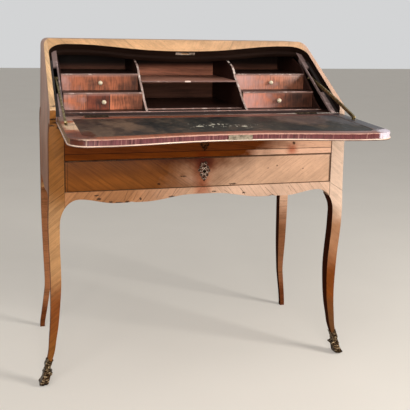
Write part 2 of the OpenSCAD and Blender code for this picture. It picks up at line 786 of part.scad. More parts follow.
// Profile of the nest's end panels and dividers: an ogee from the floor up to the top, as
// [setback behind the closed fall, share of the height under the top].
nest_h = desk_h - top_t - nest_z;
function behind_fall(z) = (z - nose_z) / tan(slope) + rebate_d / sin(slope);
ogee_shape = [[69, 0], [70, 0.061], [65, 0.165], [52, 0.264], [44, 0.375], [36, 0.49],
    [20, 0.595], [18.5, 0.666], [37, 0.716], [51, 0.793]];
ogee = [for (p = ogee_shape) [behind_fall(nest_z + p[1] * nest_h) + p[0], p[1] * nest_h]];
module ogee_outline(ceiling) {
    pts = [for (p = curve(ogee, 3)) [p[0], nest_z + p[1]]];
    polygon(concat(pts, [
        [behind_fall(ceiling - 8) + 39, ceiling - 8], [behind_fall(ceiling) + 52, ceiling],
        [back_y, ceiling], [back_y, nest_z]
    ]));
}
module nest_bottom() {
    color("#5e3121") at_front()
        block(-end_x, end_x, ogee[0][0], back_y, writing_z, nest_z);
}
module centre_floor() {
    color("#5e3121") at_front()
        block(-divider_x + divider_t, divider_x - divider_t, centre_floor_y, back_y, nest_z,
            nest_z + centre_floor_t);
}
module nest_end() {
    in_yz(-end_x, -bay_x) ogee_outline(desk_h - top_t);
}
module left_nest_end() {
    color("#5e3121") at_front() nest_end();
}
module right_nest_end() {
    color("#5e3121") at_front() mirror([1, 0, 0]) nest_end();
}
module divider() {
    in_yz(-divider_x, -divider_x + divider_t) ogee_outline(desk_h - top_t);
}
module left_divider() {
    color("#7a5a44") at_front() divider();
}
module right_divider() {
    color("#7a5a44") at_front() mirror([1, 0, 0]) divider();
}
// One shelf over each small drawer, let between an end panel and a divider.
module drawer_shelves() {
    color("#6b3b28") at_front() both_sides() {
        block(divider_x, bay_x, lower_y, back_y, lower_shelf_z, lower_shelf_z + shelf_t);
        block(divider_x, bay_x, upper_y, back_y, upper_shelf_z, upper_shelf_z + shelf_t);
    }
}
module centre_shelf() {
    color("#6b3b28") at_front()
        block(-divider_x + divider_t, divider_x - divider_t, centre_shelf_y, back_y,
            writing_z + centre_shelf_h, writing_z + centre_shelf_h + shelf_t);
}

// The fall's outline: hinge edge straight, free edge to match the opening.
fall_start = 0.5;
module fall_outline(inset) {
    half = [for (p = half_edge(fall_gap + inset)) [p[0], p[1] - hinge_s]];
    side_x = inner_hw - fall_gap - inset;
    polygon(concat(
        [[-side_x, fall_start]], mirrored(half), half, [[side_x, fall_start]]
    ));
}
module leather_outline(grow) {
    offset_in = banding_w - grow;
    half = [
        for (i = [0 : 16])
            let (x = (corner_x - 6) * i / 16)
            [x, slope_len - band_depth(x) - offset_in - hinge_s]
    ];
    side_x = inner_hw - offset_in;
    low = offset_in;
    polygon(concat(
        [[-side_x, low]],
        mirrored(concat(half, [[side_x, half[16][1] - 22]])),
        concat(half, [[side_x, half[16][1] - 22]]),
        [[side_x, low]]
    ));
}
lock_u = slope_len - band_mid - fall_gap - hinge_s;
module lock_pocket() {
    mid = fall_t / 2;
    translate([lock_x - lock_case_l / 2, lock_u - lock_case_w, mid - lock_case_t / 2])
        cube([lock_case_l, lock_case_w + 5, lock_case_t]);
    translate([lock_x - lock_l / 2, lock_u - plate_t, mid - 6])
        cube([lock_l, plate_t + 6, 12]);
}
module fall_panel() {
    color("#a5714a") at_front() in_fall() difference() {
        union() {
            translate([0, 0, banding_t]) linear_extrude(fall_t - lip_t - banding_t)
                fall_outline(lip_w);
            translate([0, 0, fall_t - lip_t]) linear_extrude(lip_t) fall_outline(0);
        }
        lock_pocket();
        fall_hinge_cuts();
        bracket_cut();
    }
}
module fall_hinge_cuts() {
    both_sides() translate([hinge_x, 0, 0]) {
        rotate([0, 90, 0]) cylinder(h = hinge_l + 1, r = knuckle_r + 0.6, center = true);
        translate([-hinge_l / 2, 0, -1]) cube([hinge_l, leaf_w, leaf_t + 1]);
    }
}
// Band of cross-grained veneer that frames the leather.
module fall_crossbanding() {
    color("#8c4a2c") at_front() in_fall() difference() {
        linear_extrude(banding_t) difference() {
            fall_outline(lip_w);
            leather_outline(0);
        }
        fall_hinge_cuts();
        bracket_cut();
        lock_pocket();
    }
}
module fall_leather() {
    color("#2b2c28") at_front() in_fall() translate([0, 0, banding_t - leather_t])
        linear_extrude(leather_t) leather_outline(0);
}

// Lock let into the fall's free edge: case and edge plate, hollow for its bolt.
module fall_lock() {
    mid = fall_t / 2;
    color("#8c8a84") at_front() in_fall() translate([lock_x, 0, 0]) difference() {
        union() {
            translate([-lock_case_l / 2, lock_u - lock_case_w, mid - lock_case_t / 2])
                cube([lock_case_l, lock_case_w - plate_t, lock_case_t]);
            translate([-lock_l / 2, lock_u - plate_t, mid - 6]) cube([lock_l, plate_t, 12]);
        }
        translate([-bolt_w / 2 - bolt_fit, lock_u - bolt_l - 1, mid - bolt_t / 2 - bolt_fit])
            cube([bolt_w + 2 * bolt_fit, bolt_l + 2, bolt_t + 2 * bolt_fit]);
    }
}
module fall_lock_bolt() {
    color("#b5a468") at_front() in_fall()
        translate([lock_x - bolt_w / 2, lock_u - bolt_l - 0.5, fall_t / 2 - bolt_t / 2])
        cube([bolt_w, bolt_l, bolt_t]);
}
module fall_hinge_leaves() {
    color("#9b8a4f") at_front() in_fall() both_sides() translate([hinge_x, 0, 0])
        mirror([0, 0, 1]) leaf(false);
}

// Stays: a bracket on the fall carries the pivot pin; the bar runs up through the ledge's slot.
stay_x = -hw + stay_inset;
ear_t = 2.4;
ear_x = stay_x + stay_t / 2 + running;
plate_w = 7;
plate_l = 34;
module bracket_cut() {
    both_sides() translate([ear_x + ear_t - plate_w, stay_r - plate_l / 2, -1])
        cube([plate_w, plate_l, 1.6 + 1]);
}
module stay_bracket() {
    translate([ear_x + ear_t - plate_w, stay_r - plate_l / 2, 0]) cube([plate_w, plate_l, 1.6]);
    difference() {
        translate([ear_x, stay_r, 0]) rotate([90, 0, 90]) linear_extrude(ear_t) union() {
            translate([0, -pivot_h]) circle(r = 3.6);
            translate([-3.6, -pivot_h]) square([7.2, pivot_h + 0.5]);
        }
    }
    translate([stay_x - stay_t / 2 - 0.9, stay_r, -pivot_h]) rotate([0, 90, 0])
        cylinder(h = stay_t + 0.9 + 0.5, r = pivot_pin_r);
    translate([stay_x - stay_t / 2 - 0.9, stay_r, -pivot_h]) rotate([0, 90, 0])
        cylinder(h = 0.9 - running, r = pivot_pin_r + 1);
}
module stay_brackets() {
    color("#9b8a4f") at_front() in_fall() both_sides() stay_bracket();
}
module stay() {
    n = 12;
    top = [for (i = [0 : n]) [stay_l * i / n, stay_bow * (1 - pow(2 * i / n - 1, 2)) + stay_w / 2]];
    low = [for (p = reversed(top)) [p[0], p[1] - stay_w]];
    translate([stay_x, pivot_y, pivot_z]) rotate([stay_angle, 0, 0]) {
        difference() {
            translate([-stay_t / 2, 0, 0]) rotate([90, 0, 90]) linear_extrude(stay_t) union() {
                polygon(concat(top, low));
                circle(r = stay_w / 2);
            }
            rotate([0, 90, 0]) cylinder(h = 20, r = pivot_pin_r + running, center = true);
        }
        translate([0, stay_l, 0]) rotate([0, 90, 0]) cylinder(h = slot_w + 5, r = stop_r, center = true);
    }
}
module left_stay() {
    color("#9b8a4f") at_front() stay();
}
module right_stay() {
    color("#9b8a4f") at_front() mirror([1, 0, 0]) stay();
}

// Main drawer: front, two sides, back and a bottom let into grooves.
front_z0 = opening_z + front_gap;
front_z1 = rail_z - front_gap;
side_z1 = front_z1 - 3;
drawer_back_y = rear_post_y - 6;
groove_z = front_z0 + 7;
groove_d = 4;
drawer_bolt_y = 8;
drawer_mount_back = 10;
module drawer_front() {
    color("#b8793f") at_front() difference() {
        block(-opening_hw + front_gap, opening_hw - front_gap, 0, drawer_front_t, front_z0, front_z1);
        block(-box_hw + drawer_side_t - groove_d, box_hw - drawer_side_t + groove_d,
            drawer_front_t - groove_d - 0.2, drawer_front_t + 1, groove_z - 0.1,
            groove_z + drawer_bottom_t + 0.1);
        drawer_lock_room();
        in_xz(-1, drawer_front_t + 1) translate([0, drawer_mount_z]) keyhole(0.4);
    }
}
module drawer_sides() {
    color("#8a6a4a") at_front() both_sides() difference() {
        block(-box_hw, -box_hw + drawer_side_t, drawer_front_t, drawer_back_y, opening_z + runner_gap,
            side_z1);
        block(-box_hw + drawer_side_t - groove_d, -box_hw + drawer_side_t + 1, drawer_front_t - 1,
            drawer_back_y + 1, groove_z - 0.1, groove_z + drawer_bottom_t + 0.1);
    }
}
module drawer_back() {
    color("#8a6a4a") at_front() block(-box_hw + drawer_side_t, box_hw - drawer_side_t,
        drawer_back_y - drawer_side_t, drawer_back_y, groove_z + drawer_bottom_t + 0.1, side_z1);
}
module drawer_bottom() {
    color("#96734f") at_front() block(-box_hw + drawer_side_t - groove_d,
        box_hw - drawer_side_t + groove_d, drawer_front_t - groove_d, drawer_back_y,
        groove_z, groove_z + drawer_bottom_t);
}
module drawer_escutcheon() {
    bronze_mount(drawer_mount_z);
}
// The drawer's lock is let into the back of the front, its bolt shooting up into the rail.
module drawer_lock_room() {
    block(-30, 30, drawer_mount_back - 5, drawer_front_t + 1, drawer_mount_z - 22, front_z1 + 1);
}
module drawer_lock() {
    z1 = front_z1;
    color("#8c8a84") at_front() difference() {
        block(-30, 30, drawer_mount_back - 5, drawer_front_t, drawer_mount_z - 22, z1);
        block(-bolt_w / 2 - bolt_fit, bolt_w / 2 + bolt_fit, drawer_bolt_y - bolt_fit,
            drawer_bolt_y + bolt_t + bolt_fit, z1 - bolt_l - 1, z1 + 1);
        in_xz(0, drawer_front_t - 3) translate([0, drawer_mount_z]) keyhole(0.2);
    }
}
module drawer_lock_bolt() {
    color("#b5a468") at_front() block(-bolt_w / 2, bolt_w / 2, drawer_bolt_y, drawer_bolt_y + bolt_t,
        front_z1 - bolt_l - 0.4, front_z1 - 0.4);
}

// Small drawers of the nest. The sign s is -1 on the left and 1 on the right.
module small_front(s, y, z) {
    color("#a8582f") at_front() difference() {
        block(s * bay_mid - bay_w / 2 + side_gap, s * bay_mid + bay_w / 2 - side_gap, y,
            y + small_front_t, z, z + small_h);
        translate([s * bay_mid, y - 1, z + small_h / 2]) rotate([-90, 0, 0])
            cylinder(h = small_front_t + 2, r = knob_d * 0.16);
    }
}
module small_box(s, y, z) {
    x0 = s * bay_mid - bay_w / 2 + side_gap + 0.4;
    x1 = s * bay_mid + bay_w / 2 - side_gap - 0.4;
    y0 = y + small_front_t;
    z1 = z + small_h - 2;
    color("#8a6a4a") at_front() {
        block(x0, x0 + small_wall_t, y0, small_back_y, z + small_wall_t, z1);
        block(x1 - small_wall_t, x1, y0, small_back_y, z + small_wall_t, z1);
        block(x0 + small_wall_t, x1 - small_wall_t, small_back_y - small_wall_t, small_back_y,
            z + small_wall_t, z1);
        block(x0, x1, y0, small_back_y, z, z + small_wall_t);
    }
}
// Turned bone knob on a stem through the drawer's front.
module small_knob(s, y, z) {
    r = knob_d / 2;
    color("#e9dfc6") at_front() translate([s * bay_mid, y, z + small_h / 2]) rotate([90, 0, 0])
        rotate_extrude() polygon(concat(
            [[0, -small_front_t], [knob_d * 0.16, -small_front_t], [knob_d * 0.16, 0],
            [r * 0.62, 0], [r * 0.58, 1.2], [r * 0.4, 2.4], [r * 0.42, 3.6]],
            arc(0, 3.6 + r * 0.75, r, -24, 60, 8),
            [[r * 0.28, 3.8 + r * 1.72], [0, 3.9 + r * 1.78]]
        ));
}

left_side_panel();
right_side_panel();
back_panel();
top_board();
top_rail();
top_stop_rail();
strike_plate();
front_left_leg();
front_right_leg();
rear_left_leg();
rear_right_leg();
left_sabot();
right_sabot();
front_apron();
drawer_rail();
frieze();
frieze_escutcheon();
dust_board();
drawer_runners();
writing_floor();
left_ledge();
right_ledge();
floor_hinge_leaves();
hinge_pins();
nest_bottom();
centre_floor();
left_nest_end();
right_nest_end();
left_divider();
right_divider();
drawer_shelves();
centre_shelf();
fall_panel();
fall_crossbanding();
fall_leather();
fall_lock();
fall_lock_bolt();
fall_hinge_leaves();
stay_brackets();
left_stay();
right_stay();
drawer_front();
drawer_sides();
drawer_back();
drawer_bottom();
drawer_escutcheon();
drawer_lock();
drawer_lock_bolt();
small_front(-1, upper_y, upper_z);  // upper_left_front
small_box(-1, upper_y, upper_z);  // upper_left_box
small_knob(-1, upper_y, upper_z);  // upper_left_knob
small_front(1, upper_y, upper_z);  // upper_right_front
small_box(1, upper_y, upper_z);  // upper_right_box
small_knob(1, upper_y, upper_z);  // upper_right_knob
small_front(-1, lower_y, lower_z);  // lower_left_front
small_box(-1, lower_y, lower_z);  // lower_left_box
small_knob(-1, lower_y, lower_z);  // lower_left_knob
small_front(1, lower_y, lower_z);  // lower_right_front
small_box(1, lower_y, lower_z);  // lower_right_box
small_knob(1, lower_y, lower_z);  // lower_right_knob
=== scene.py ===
# Slant-front writing desk: veneered carcass, nest, fall, bronze mounts and stays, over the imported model.
import json
import math
from functools import partial

import bmesh
import bpy
from mathutils import Matrix, Vector
from mathutils.bvhtree import BVHTree

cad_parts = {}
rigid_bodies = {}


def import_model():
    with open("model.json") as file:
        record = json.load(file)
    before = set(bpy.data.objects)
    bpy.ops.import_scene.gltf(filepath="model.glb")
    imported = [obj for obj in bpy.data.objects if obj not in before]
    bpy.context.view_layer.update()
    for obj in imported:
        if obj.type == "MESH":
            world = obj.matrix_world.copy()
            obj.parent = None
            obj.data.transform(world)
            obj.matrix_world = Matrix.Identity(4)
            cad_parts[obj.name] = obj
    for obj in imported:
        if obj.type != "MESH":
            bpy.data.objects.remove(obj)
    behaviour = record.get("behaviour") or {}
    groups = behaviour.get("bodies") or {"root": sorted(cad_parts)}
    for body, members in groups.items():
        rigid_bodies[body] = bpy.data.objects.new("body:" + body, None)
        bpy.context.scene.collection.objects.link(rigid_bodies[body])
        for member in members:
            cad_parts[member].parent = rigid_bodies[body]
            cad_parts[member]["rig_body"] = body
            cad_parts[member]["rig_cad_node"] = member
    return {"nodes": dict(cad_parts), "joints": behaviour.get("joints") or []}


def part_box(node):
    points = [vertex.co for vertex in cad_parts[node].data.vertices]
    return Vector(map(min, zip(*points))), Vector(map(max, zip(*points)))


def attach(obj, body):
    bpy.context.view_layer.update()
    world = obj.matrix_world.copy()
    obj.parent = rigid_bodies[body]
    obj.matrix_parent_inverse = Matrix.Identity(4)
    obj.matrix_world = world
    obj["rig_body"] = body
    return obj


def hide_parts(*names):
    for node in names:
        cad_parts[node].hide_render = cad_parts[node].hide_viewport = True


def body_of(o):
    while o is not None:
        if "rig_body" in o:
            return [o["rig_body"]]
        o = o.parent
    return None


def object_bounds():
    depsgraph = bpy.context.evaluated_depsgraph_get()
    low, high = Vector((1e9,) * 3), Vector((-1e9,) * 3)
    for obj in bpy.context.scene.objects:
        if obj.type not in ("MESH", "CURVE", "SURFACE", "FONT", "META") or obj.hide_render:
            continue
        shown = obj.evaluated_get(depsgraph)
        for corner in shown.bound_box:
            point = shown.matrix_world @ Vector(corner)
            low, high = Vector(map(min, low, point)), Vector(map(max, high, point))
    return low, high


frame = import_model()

bl_info = {
    "name": "Slant-front desk",
    "version": (1, 0, 0),
    "blender": (4, 5, 0),
    "location": "View3D > Sidebar > Desk",
    "description": "Finishes a slant-front desk: veneer, leather, bronze and brass, with its stage",
    "category": "Object",
}

CAD_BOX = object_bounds()
HINGE = Vector(next(j for j in frame["joints"] if j["name"] == "fall_hinge")["pos_m"])
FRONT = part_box("drawer_front")[0].y
SLOPE = math.radians(30.118)
DROOP = math.radians(2)
# Down through the thickness of the open fall, which hangs a little below level.
DOWN = Vector((0, math.sin(DROOP), -math.cos(DROOP)))
UP_SLOPE = Vector((0, math.cos(SLOPE), math.sin(SLOPE)))
OFF_SLOPE = Vector((0, -math.sin(SLOPE), math.cos(SLOPE)))
X, Y, Z = Vector((1, 0, 0)), Vector((0, 1, 0)), Vector((0, 0, 1))


def linear(code):
    """An sRGB hex colour as linear red, green, blue and alpha."""
    parts = [int(code[i:i + 2], 16) / 255 for i in (1, 3, 5)]
    return tuple(c / 12.92 if c <= 0.04045 else ((c + 0.055) / 1.055) ** 2.4 for c in parts) + (1.0,)


def colour(label, about, code):
    """A colour setting whose default is an sRGB hex value."""
    return bpy.props.FloatVectorProperty(
        name=label, description=about, subtype="COLOR", size=4, min=0, max=1, default=linear(code))


def length(label, about, metres):
    """A length setting in metres."""
    return bpy.props.FloatProperty(
        name=label, description=about, default=metres, min=0, unit="LENGTH", subtype="DISTANCE", precision=4)


class DeskWoods(bpy.types.PropertyGroup):
    """Colours and edges of the desk's woods."""
    # The golden brown also carries painted shade, and the pale peach painted light, for light falling from the right.
    aged: colour("Aged veneer", "Veneer away from the light, golden brown", "#76441a")
    faded_and_lit: colour("Faded veneer", "Veneer bleached by the light, pale peach", "#c5a187")
    flank: colour("Flank veneer", "Veneer on the two sides", "#b68f7d")
    mahogany: colour("Mahogany", "Fronts of the small drawers", "#a86244")
    inside: colour("Inside", "Stained boards of the writing compartment", "#2c1812")
    carcass_oak: colour("Secondary oak", "Boards out of sight and drawer boxes", "#95714c")
    board_round: length("Board edge", "Wear on the edges of boards", 0.0008)
    leg_round: length("Leg edge", "Wear on the edges of legs", 0.0022)


class DeskFittings(bpy.types.PropertyGroup):
    """Colours and sizes of metal, bone and leather."""
    brass: colour("Brass", "Stays, hinges and strike plate", "#85744a")
    steel: colour("Lock steel", "Lock plates", "#948877")
    bone: colour("Bone", "Knobs of the small drawers", "#e9dfc6")
    leather: colour("Leather", "Worn writing surface", "#1c1a15")
    relief: length("Relief", "Height of the mounts' modelling", 0.0018)


class DeskStage(bpy.types.PropertyGroup):
    """Floor and lights."""
    floor: colour("Floor", "Plain pale floor", "#d8d6d1")
    key: bpy.props.FloatProperty(
        name="Key", description="Power of the window-like light", default=76, min=0, unit="POWER")
    fill: bpy.props.FloatProperty(name="Fill", description="Strength of the room's light", default=0.22, min=0)
    lift: bpy.props.FloatProperty(name="Lift", description="How much paler the floor is seen", default=0.30, min=0)


# ---------------------------------------------------------------------------------- mesh helpers

def only(piece):
    """Leaves edit mode and selects just this piece."""
    if bpy.context.object and bpy.context.object.mode != "OBJECT":
        bpy.ops.object.mode_set(mode="OBJECT")
    bpy.ops.object.select_all(action="DESELECT")
    piece.select_set(True)
    bpy.context.view_layer.objects.active = piece


def named(piece, name):
    """Names a piece and its mesh."""
    piece.name = piece.data.name = name
    return piece


def copy_of(node, name):
    """A merged copy of a CAD node, ready to be finished, standing for that node."""
    only(frame["nodes"][node])
    bpy.ops.object.duplicate()
    piece = named(bpy.context.object, name)
    del piece["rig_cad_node"]
    bpy.ops.object.mode_set(mode="EDIT")
    bpy.ops.mesh.select_all(action="SELECT")
    bpy.ops.mesh.remove_doubles(threshold=0.00001)
    bpy.ops.mesh.dissolve_limited(angle_limit=math.radians(0.4))
    bpy.ops.object.mode_set(mode="OBJECT")
    piece.data.materials.clear()
    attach(piece, body_of(frame["nodes"][node])[0])
    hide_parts(node)
    return piece


def neighbours(node):
    """A search tree over every CAD node but one."""
    points, faces = [], []
    for name, other in frame["nodes"].items():
        if name != node:
            start = len(points)
            points += [v.co for v in other.data.vertices]
            faces += [[start + i for i in f.vertices] for f in other.data.polygons]
    return BVHTree.FromPolygons(points, faces)


def ease(piece, node, width, joint=0.0, segments=2):
    """Rounds a piece's free edges, and lays a fine groove along those that meet another board."""
    # Edges sharper than this are eased, and a board nearer than this meets the edge.
    sharp, meets = math.radians(35), 0.0004
    tree = neighbours(node)
    only(piece)
    bpy.ops.object.mode_set(mode="EDIT")
    bpy.context.tool_settings.mesh_select_mode = (False, True, False)
    for free, size in ((True, width), (False, joint)):
        if not size:
            continue
        bpy.ops.mesh.select_all(action="DESELECT")
        mesh = bmesh.from_edit_mesh(piece.data)
        found = 0
        for edge in mesh.edges:
            if len(edge.link_faces) != 2 or edge.calc_face_angle(0) < sharp:
                continue
            middle = (edge.verts[0].co + edge.verts[1].co) / 2
            hit = tree.find_nearest(middle, meets)[0]
            if (hit is None) == free and edge.calc_length() > size:
                edge.select = True
                found += 1
        bmesh.update_edit_mesh(piece.data)
        if found:
            bpy.ops.mesh.bevel(offset=size, segments=segments if free else 1, affect="EDGES", clamp_overlap=True)
    bpy.ops.object.mode_set(mode="OBJECT")
    bpy.ops.object.shade_smooth_by_angle(angle=math.radians(32))


def paint(piece, *rules):
    """Gives each face the first finish whose test its middle and normal pass; one without a test takes the rest."""
    rules = [(rule, None) if isinstance(rule, str) else rule for rule in rules]
    piece.data.materials.clear()
    for finish, _ in rules:
        piece.data.materials.append(finishes()[finish])
    for face in piece.data.polygons:
        face.material_index = next(
            index for index, (_, test) in enumerate(rules) if not test or test(face.center, face.normal))


def dress(node, ending, *rules, stem=None, width=None, **edges):
    """Puts a finished copy in a CAD node's place: edges eased as a board's or to a width, faces painted."""
    piece = copy_of(node, f"{stem or node}_{ending}")
    ease(piece, node, width or bpy.context.scene.desk_woods.board_round, **edges)
    paint(piece, *rules)


# ---------------------------------------------------------------------------------- finishes

# A pattern's node is written as its kind, and after a space the setting that this table names for it.
MODES = {"Math": "operation", "VectorMath": "operation", "Mix": "data_type", "MapRange": "interpolation_type",
         "TexVoronoi": "feature", "TexWhiteNoise": "noise_dimensions", "Attribute": "attribute_name"}


def feed(mat, node, feeds):
    """Gives a node's inputs, in order or by name, values, hex colours or what other nodes make."""
    inputs = [socket for socket in node.inputs if socket.enabled]
    for key, value in feeds.items() if isinstance(feeds, dict) else enumerate(feeds):
        socket = inputs[key] if isinstance(key, int) else next(s for s in inputs if s.name == key)
        if isinstance(value, bpy.types.Node):
            value = next(s for s in value.outputs if s.enabled)
        if isinstance(value, bpy.types.NodeSocket):
            mat.node_tree.links.new(value, socket)
        else:
            socket.default_value = tone_of(value) if isinstance(value, str) else value


def add_node(mat, kind, feeds=(), stops=(), **settings):
    """Adds a node with its settings and links: stops are a ramp's places and colours."""
    kind, _, mode = kind.partition(" ")
    node = mat.node_tree.nodes.new("ShaderNode" + kind)
    if mode:
        settings[MODES[kind]] = mode
    for key, value in settings.items():
        setattr(node, key, value)
    for _ in stops[2:]:
        node.color_ramp.elements.new(1)
    for element, (position, tone) in zip(node.color_ramp.elements if stops else (), stops):
        element.position, element.color = position, tone_of(tone)
    feed(mat, node, feeds)
    return node


def blank(name, roughness, metallic=0.0, ior=1.5):
    """An empty finish, its shader with the plain values set on it, and what adds a node to it."""
    mat = bpy.data.materials.new(name)
    mat.use_nodes = True
    shader = mat.node_tree.nodes["Principled BSDF"]
    shader.inputs["Roughness"].default_value = roughness
    shader.inputs["Metallic"].default_value = metallic
    if not metallic:
        shader.inputs["IOR"].default_value = ior
    return mat, shader, partial(add_node, mat)


def tone_of(tone, factor=1):
    """A colour, given in hex or linear, made lighter or darker."""
    tone = linear(tone) if isinstance(tone, str) else tone
    return tuple(min(1.0, c * factor) for c in tone[:3]) + (1.0,) if factor != 1 else tuple(tone)


def shades(tone, spread, dark, light):
    """The stops of a ramp from a darker to a lighter shade of one tone."""
    return [(0.5 - spread / 2, tone_of(tone, dark)), (0.5, tone), (0.5 + spread / 2, tone_of(tone, light))]


def turned(flat, rise, degrees):
    """Directions along and across a grain that climbs from one direction to the other."""
    a = math.radians(degrees)
    return flat * math.cos(a) + rise * math.sin(a), rise * math.cos(a) - flat * math.sin(a)


def grain_place(add, place, along, across, mirror):
    """Place measured along the grain, across it and through the board. A mirrored pattern is book-matched."""
    if mirror:
        parts = add("SeparateXYZ", (place,))
        half = add("Math ABSOLUTE", (parts.outputs["X"],))
        place = add("CombineXYZ", (half, parts.outputs["Y"], parts.outputs["Z"]))
    axes = (along, across, along.cross(across))
    return add("CombineXYZ", [add("VectorMath DOT_PRODUCT", (place, tuple(axis))) for axis in axes])


def reaches(add, place, middle, reach):
    """How far a place lies from a middle, counted in its reach along each axis."""
    away = add("VectorMath SUBTRACT", (place, middle))
    away = add("VectorMath MULTIPLY", (away, tuple(1 / r for r in reach)))
    return add("VectorMath LENGTH", (away,))


def strip(add, place, axis, where, half):
    """One inside a strip that lies across an axis, and zero outside it."""
    run = add("VectorMath DOT_PRODUCT", (place, tuple(axis)))
    return add("Math COMPARE", (run, where, half))


def on_fall(x, forward, wide, deep):
    """A place on the open fall, so far forward of its hinges, and its reach."""
    return (x, HINGE.y - forward, HINGE.z), (wide, deep, 1)


def on_front(x, z, wide, high):
    """A place on the desk's front, and its reach."""
    return (x, FRONT, z), (wide, 1, high)


def marks(where, rows):
    """Marks on the fall or the front: each row is a place and its reach there, then what is said of the mark."""
    return [(*where(*row[:4]), *row[4:]) for row in rows]


def patched(add, place, skin, patches):
    """Lays bared or discoloured places, painted highlights and painted reflections with ragged outlines over a skin,
    as (place, reach, colour, strength).
    """
    if patches:
        ragged = add("TexNoise", (place, 75.0, 5.0, 0.65))
    for spot, reach, shade, strength in patches:
        away = reaches(add, place, spot, reach)
        rough = add("Math MULTIPLY_ADD", (ragged, 1.5, away))
        mask = add("MapRange", (rough, 1.85, 1.5, 0, strength))
        skin = add("Mix RGBA", (mask, skin, shade))
    return skin


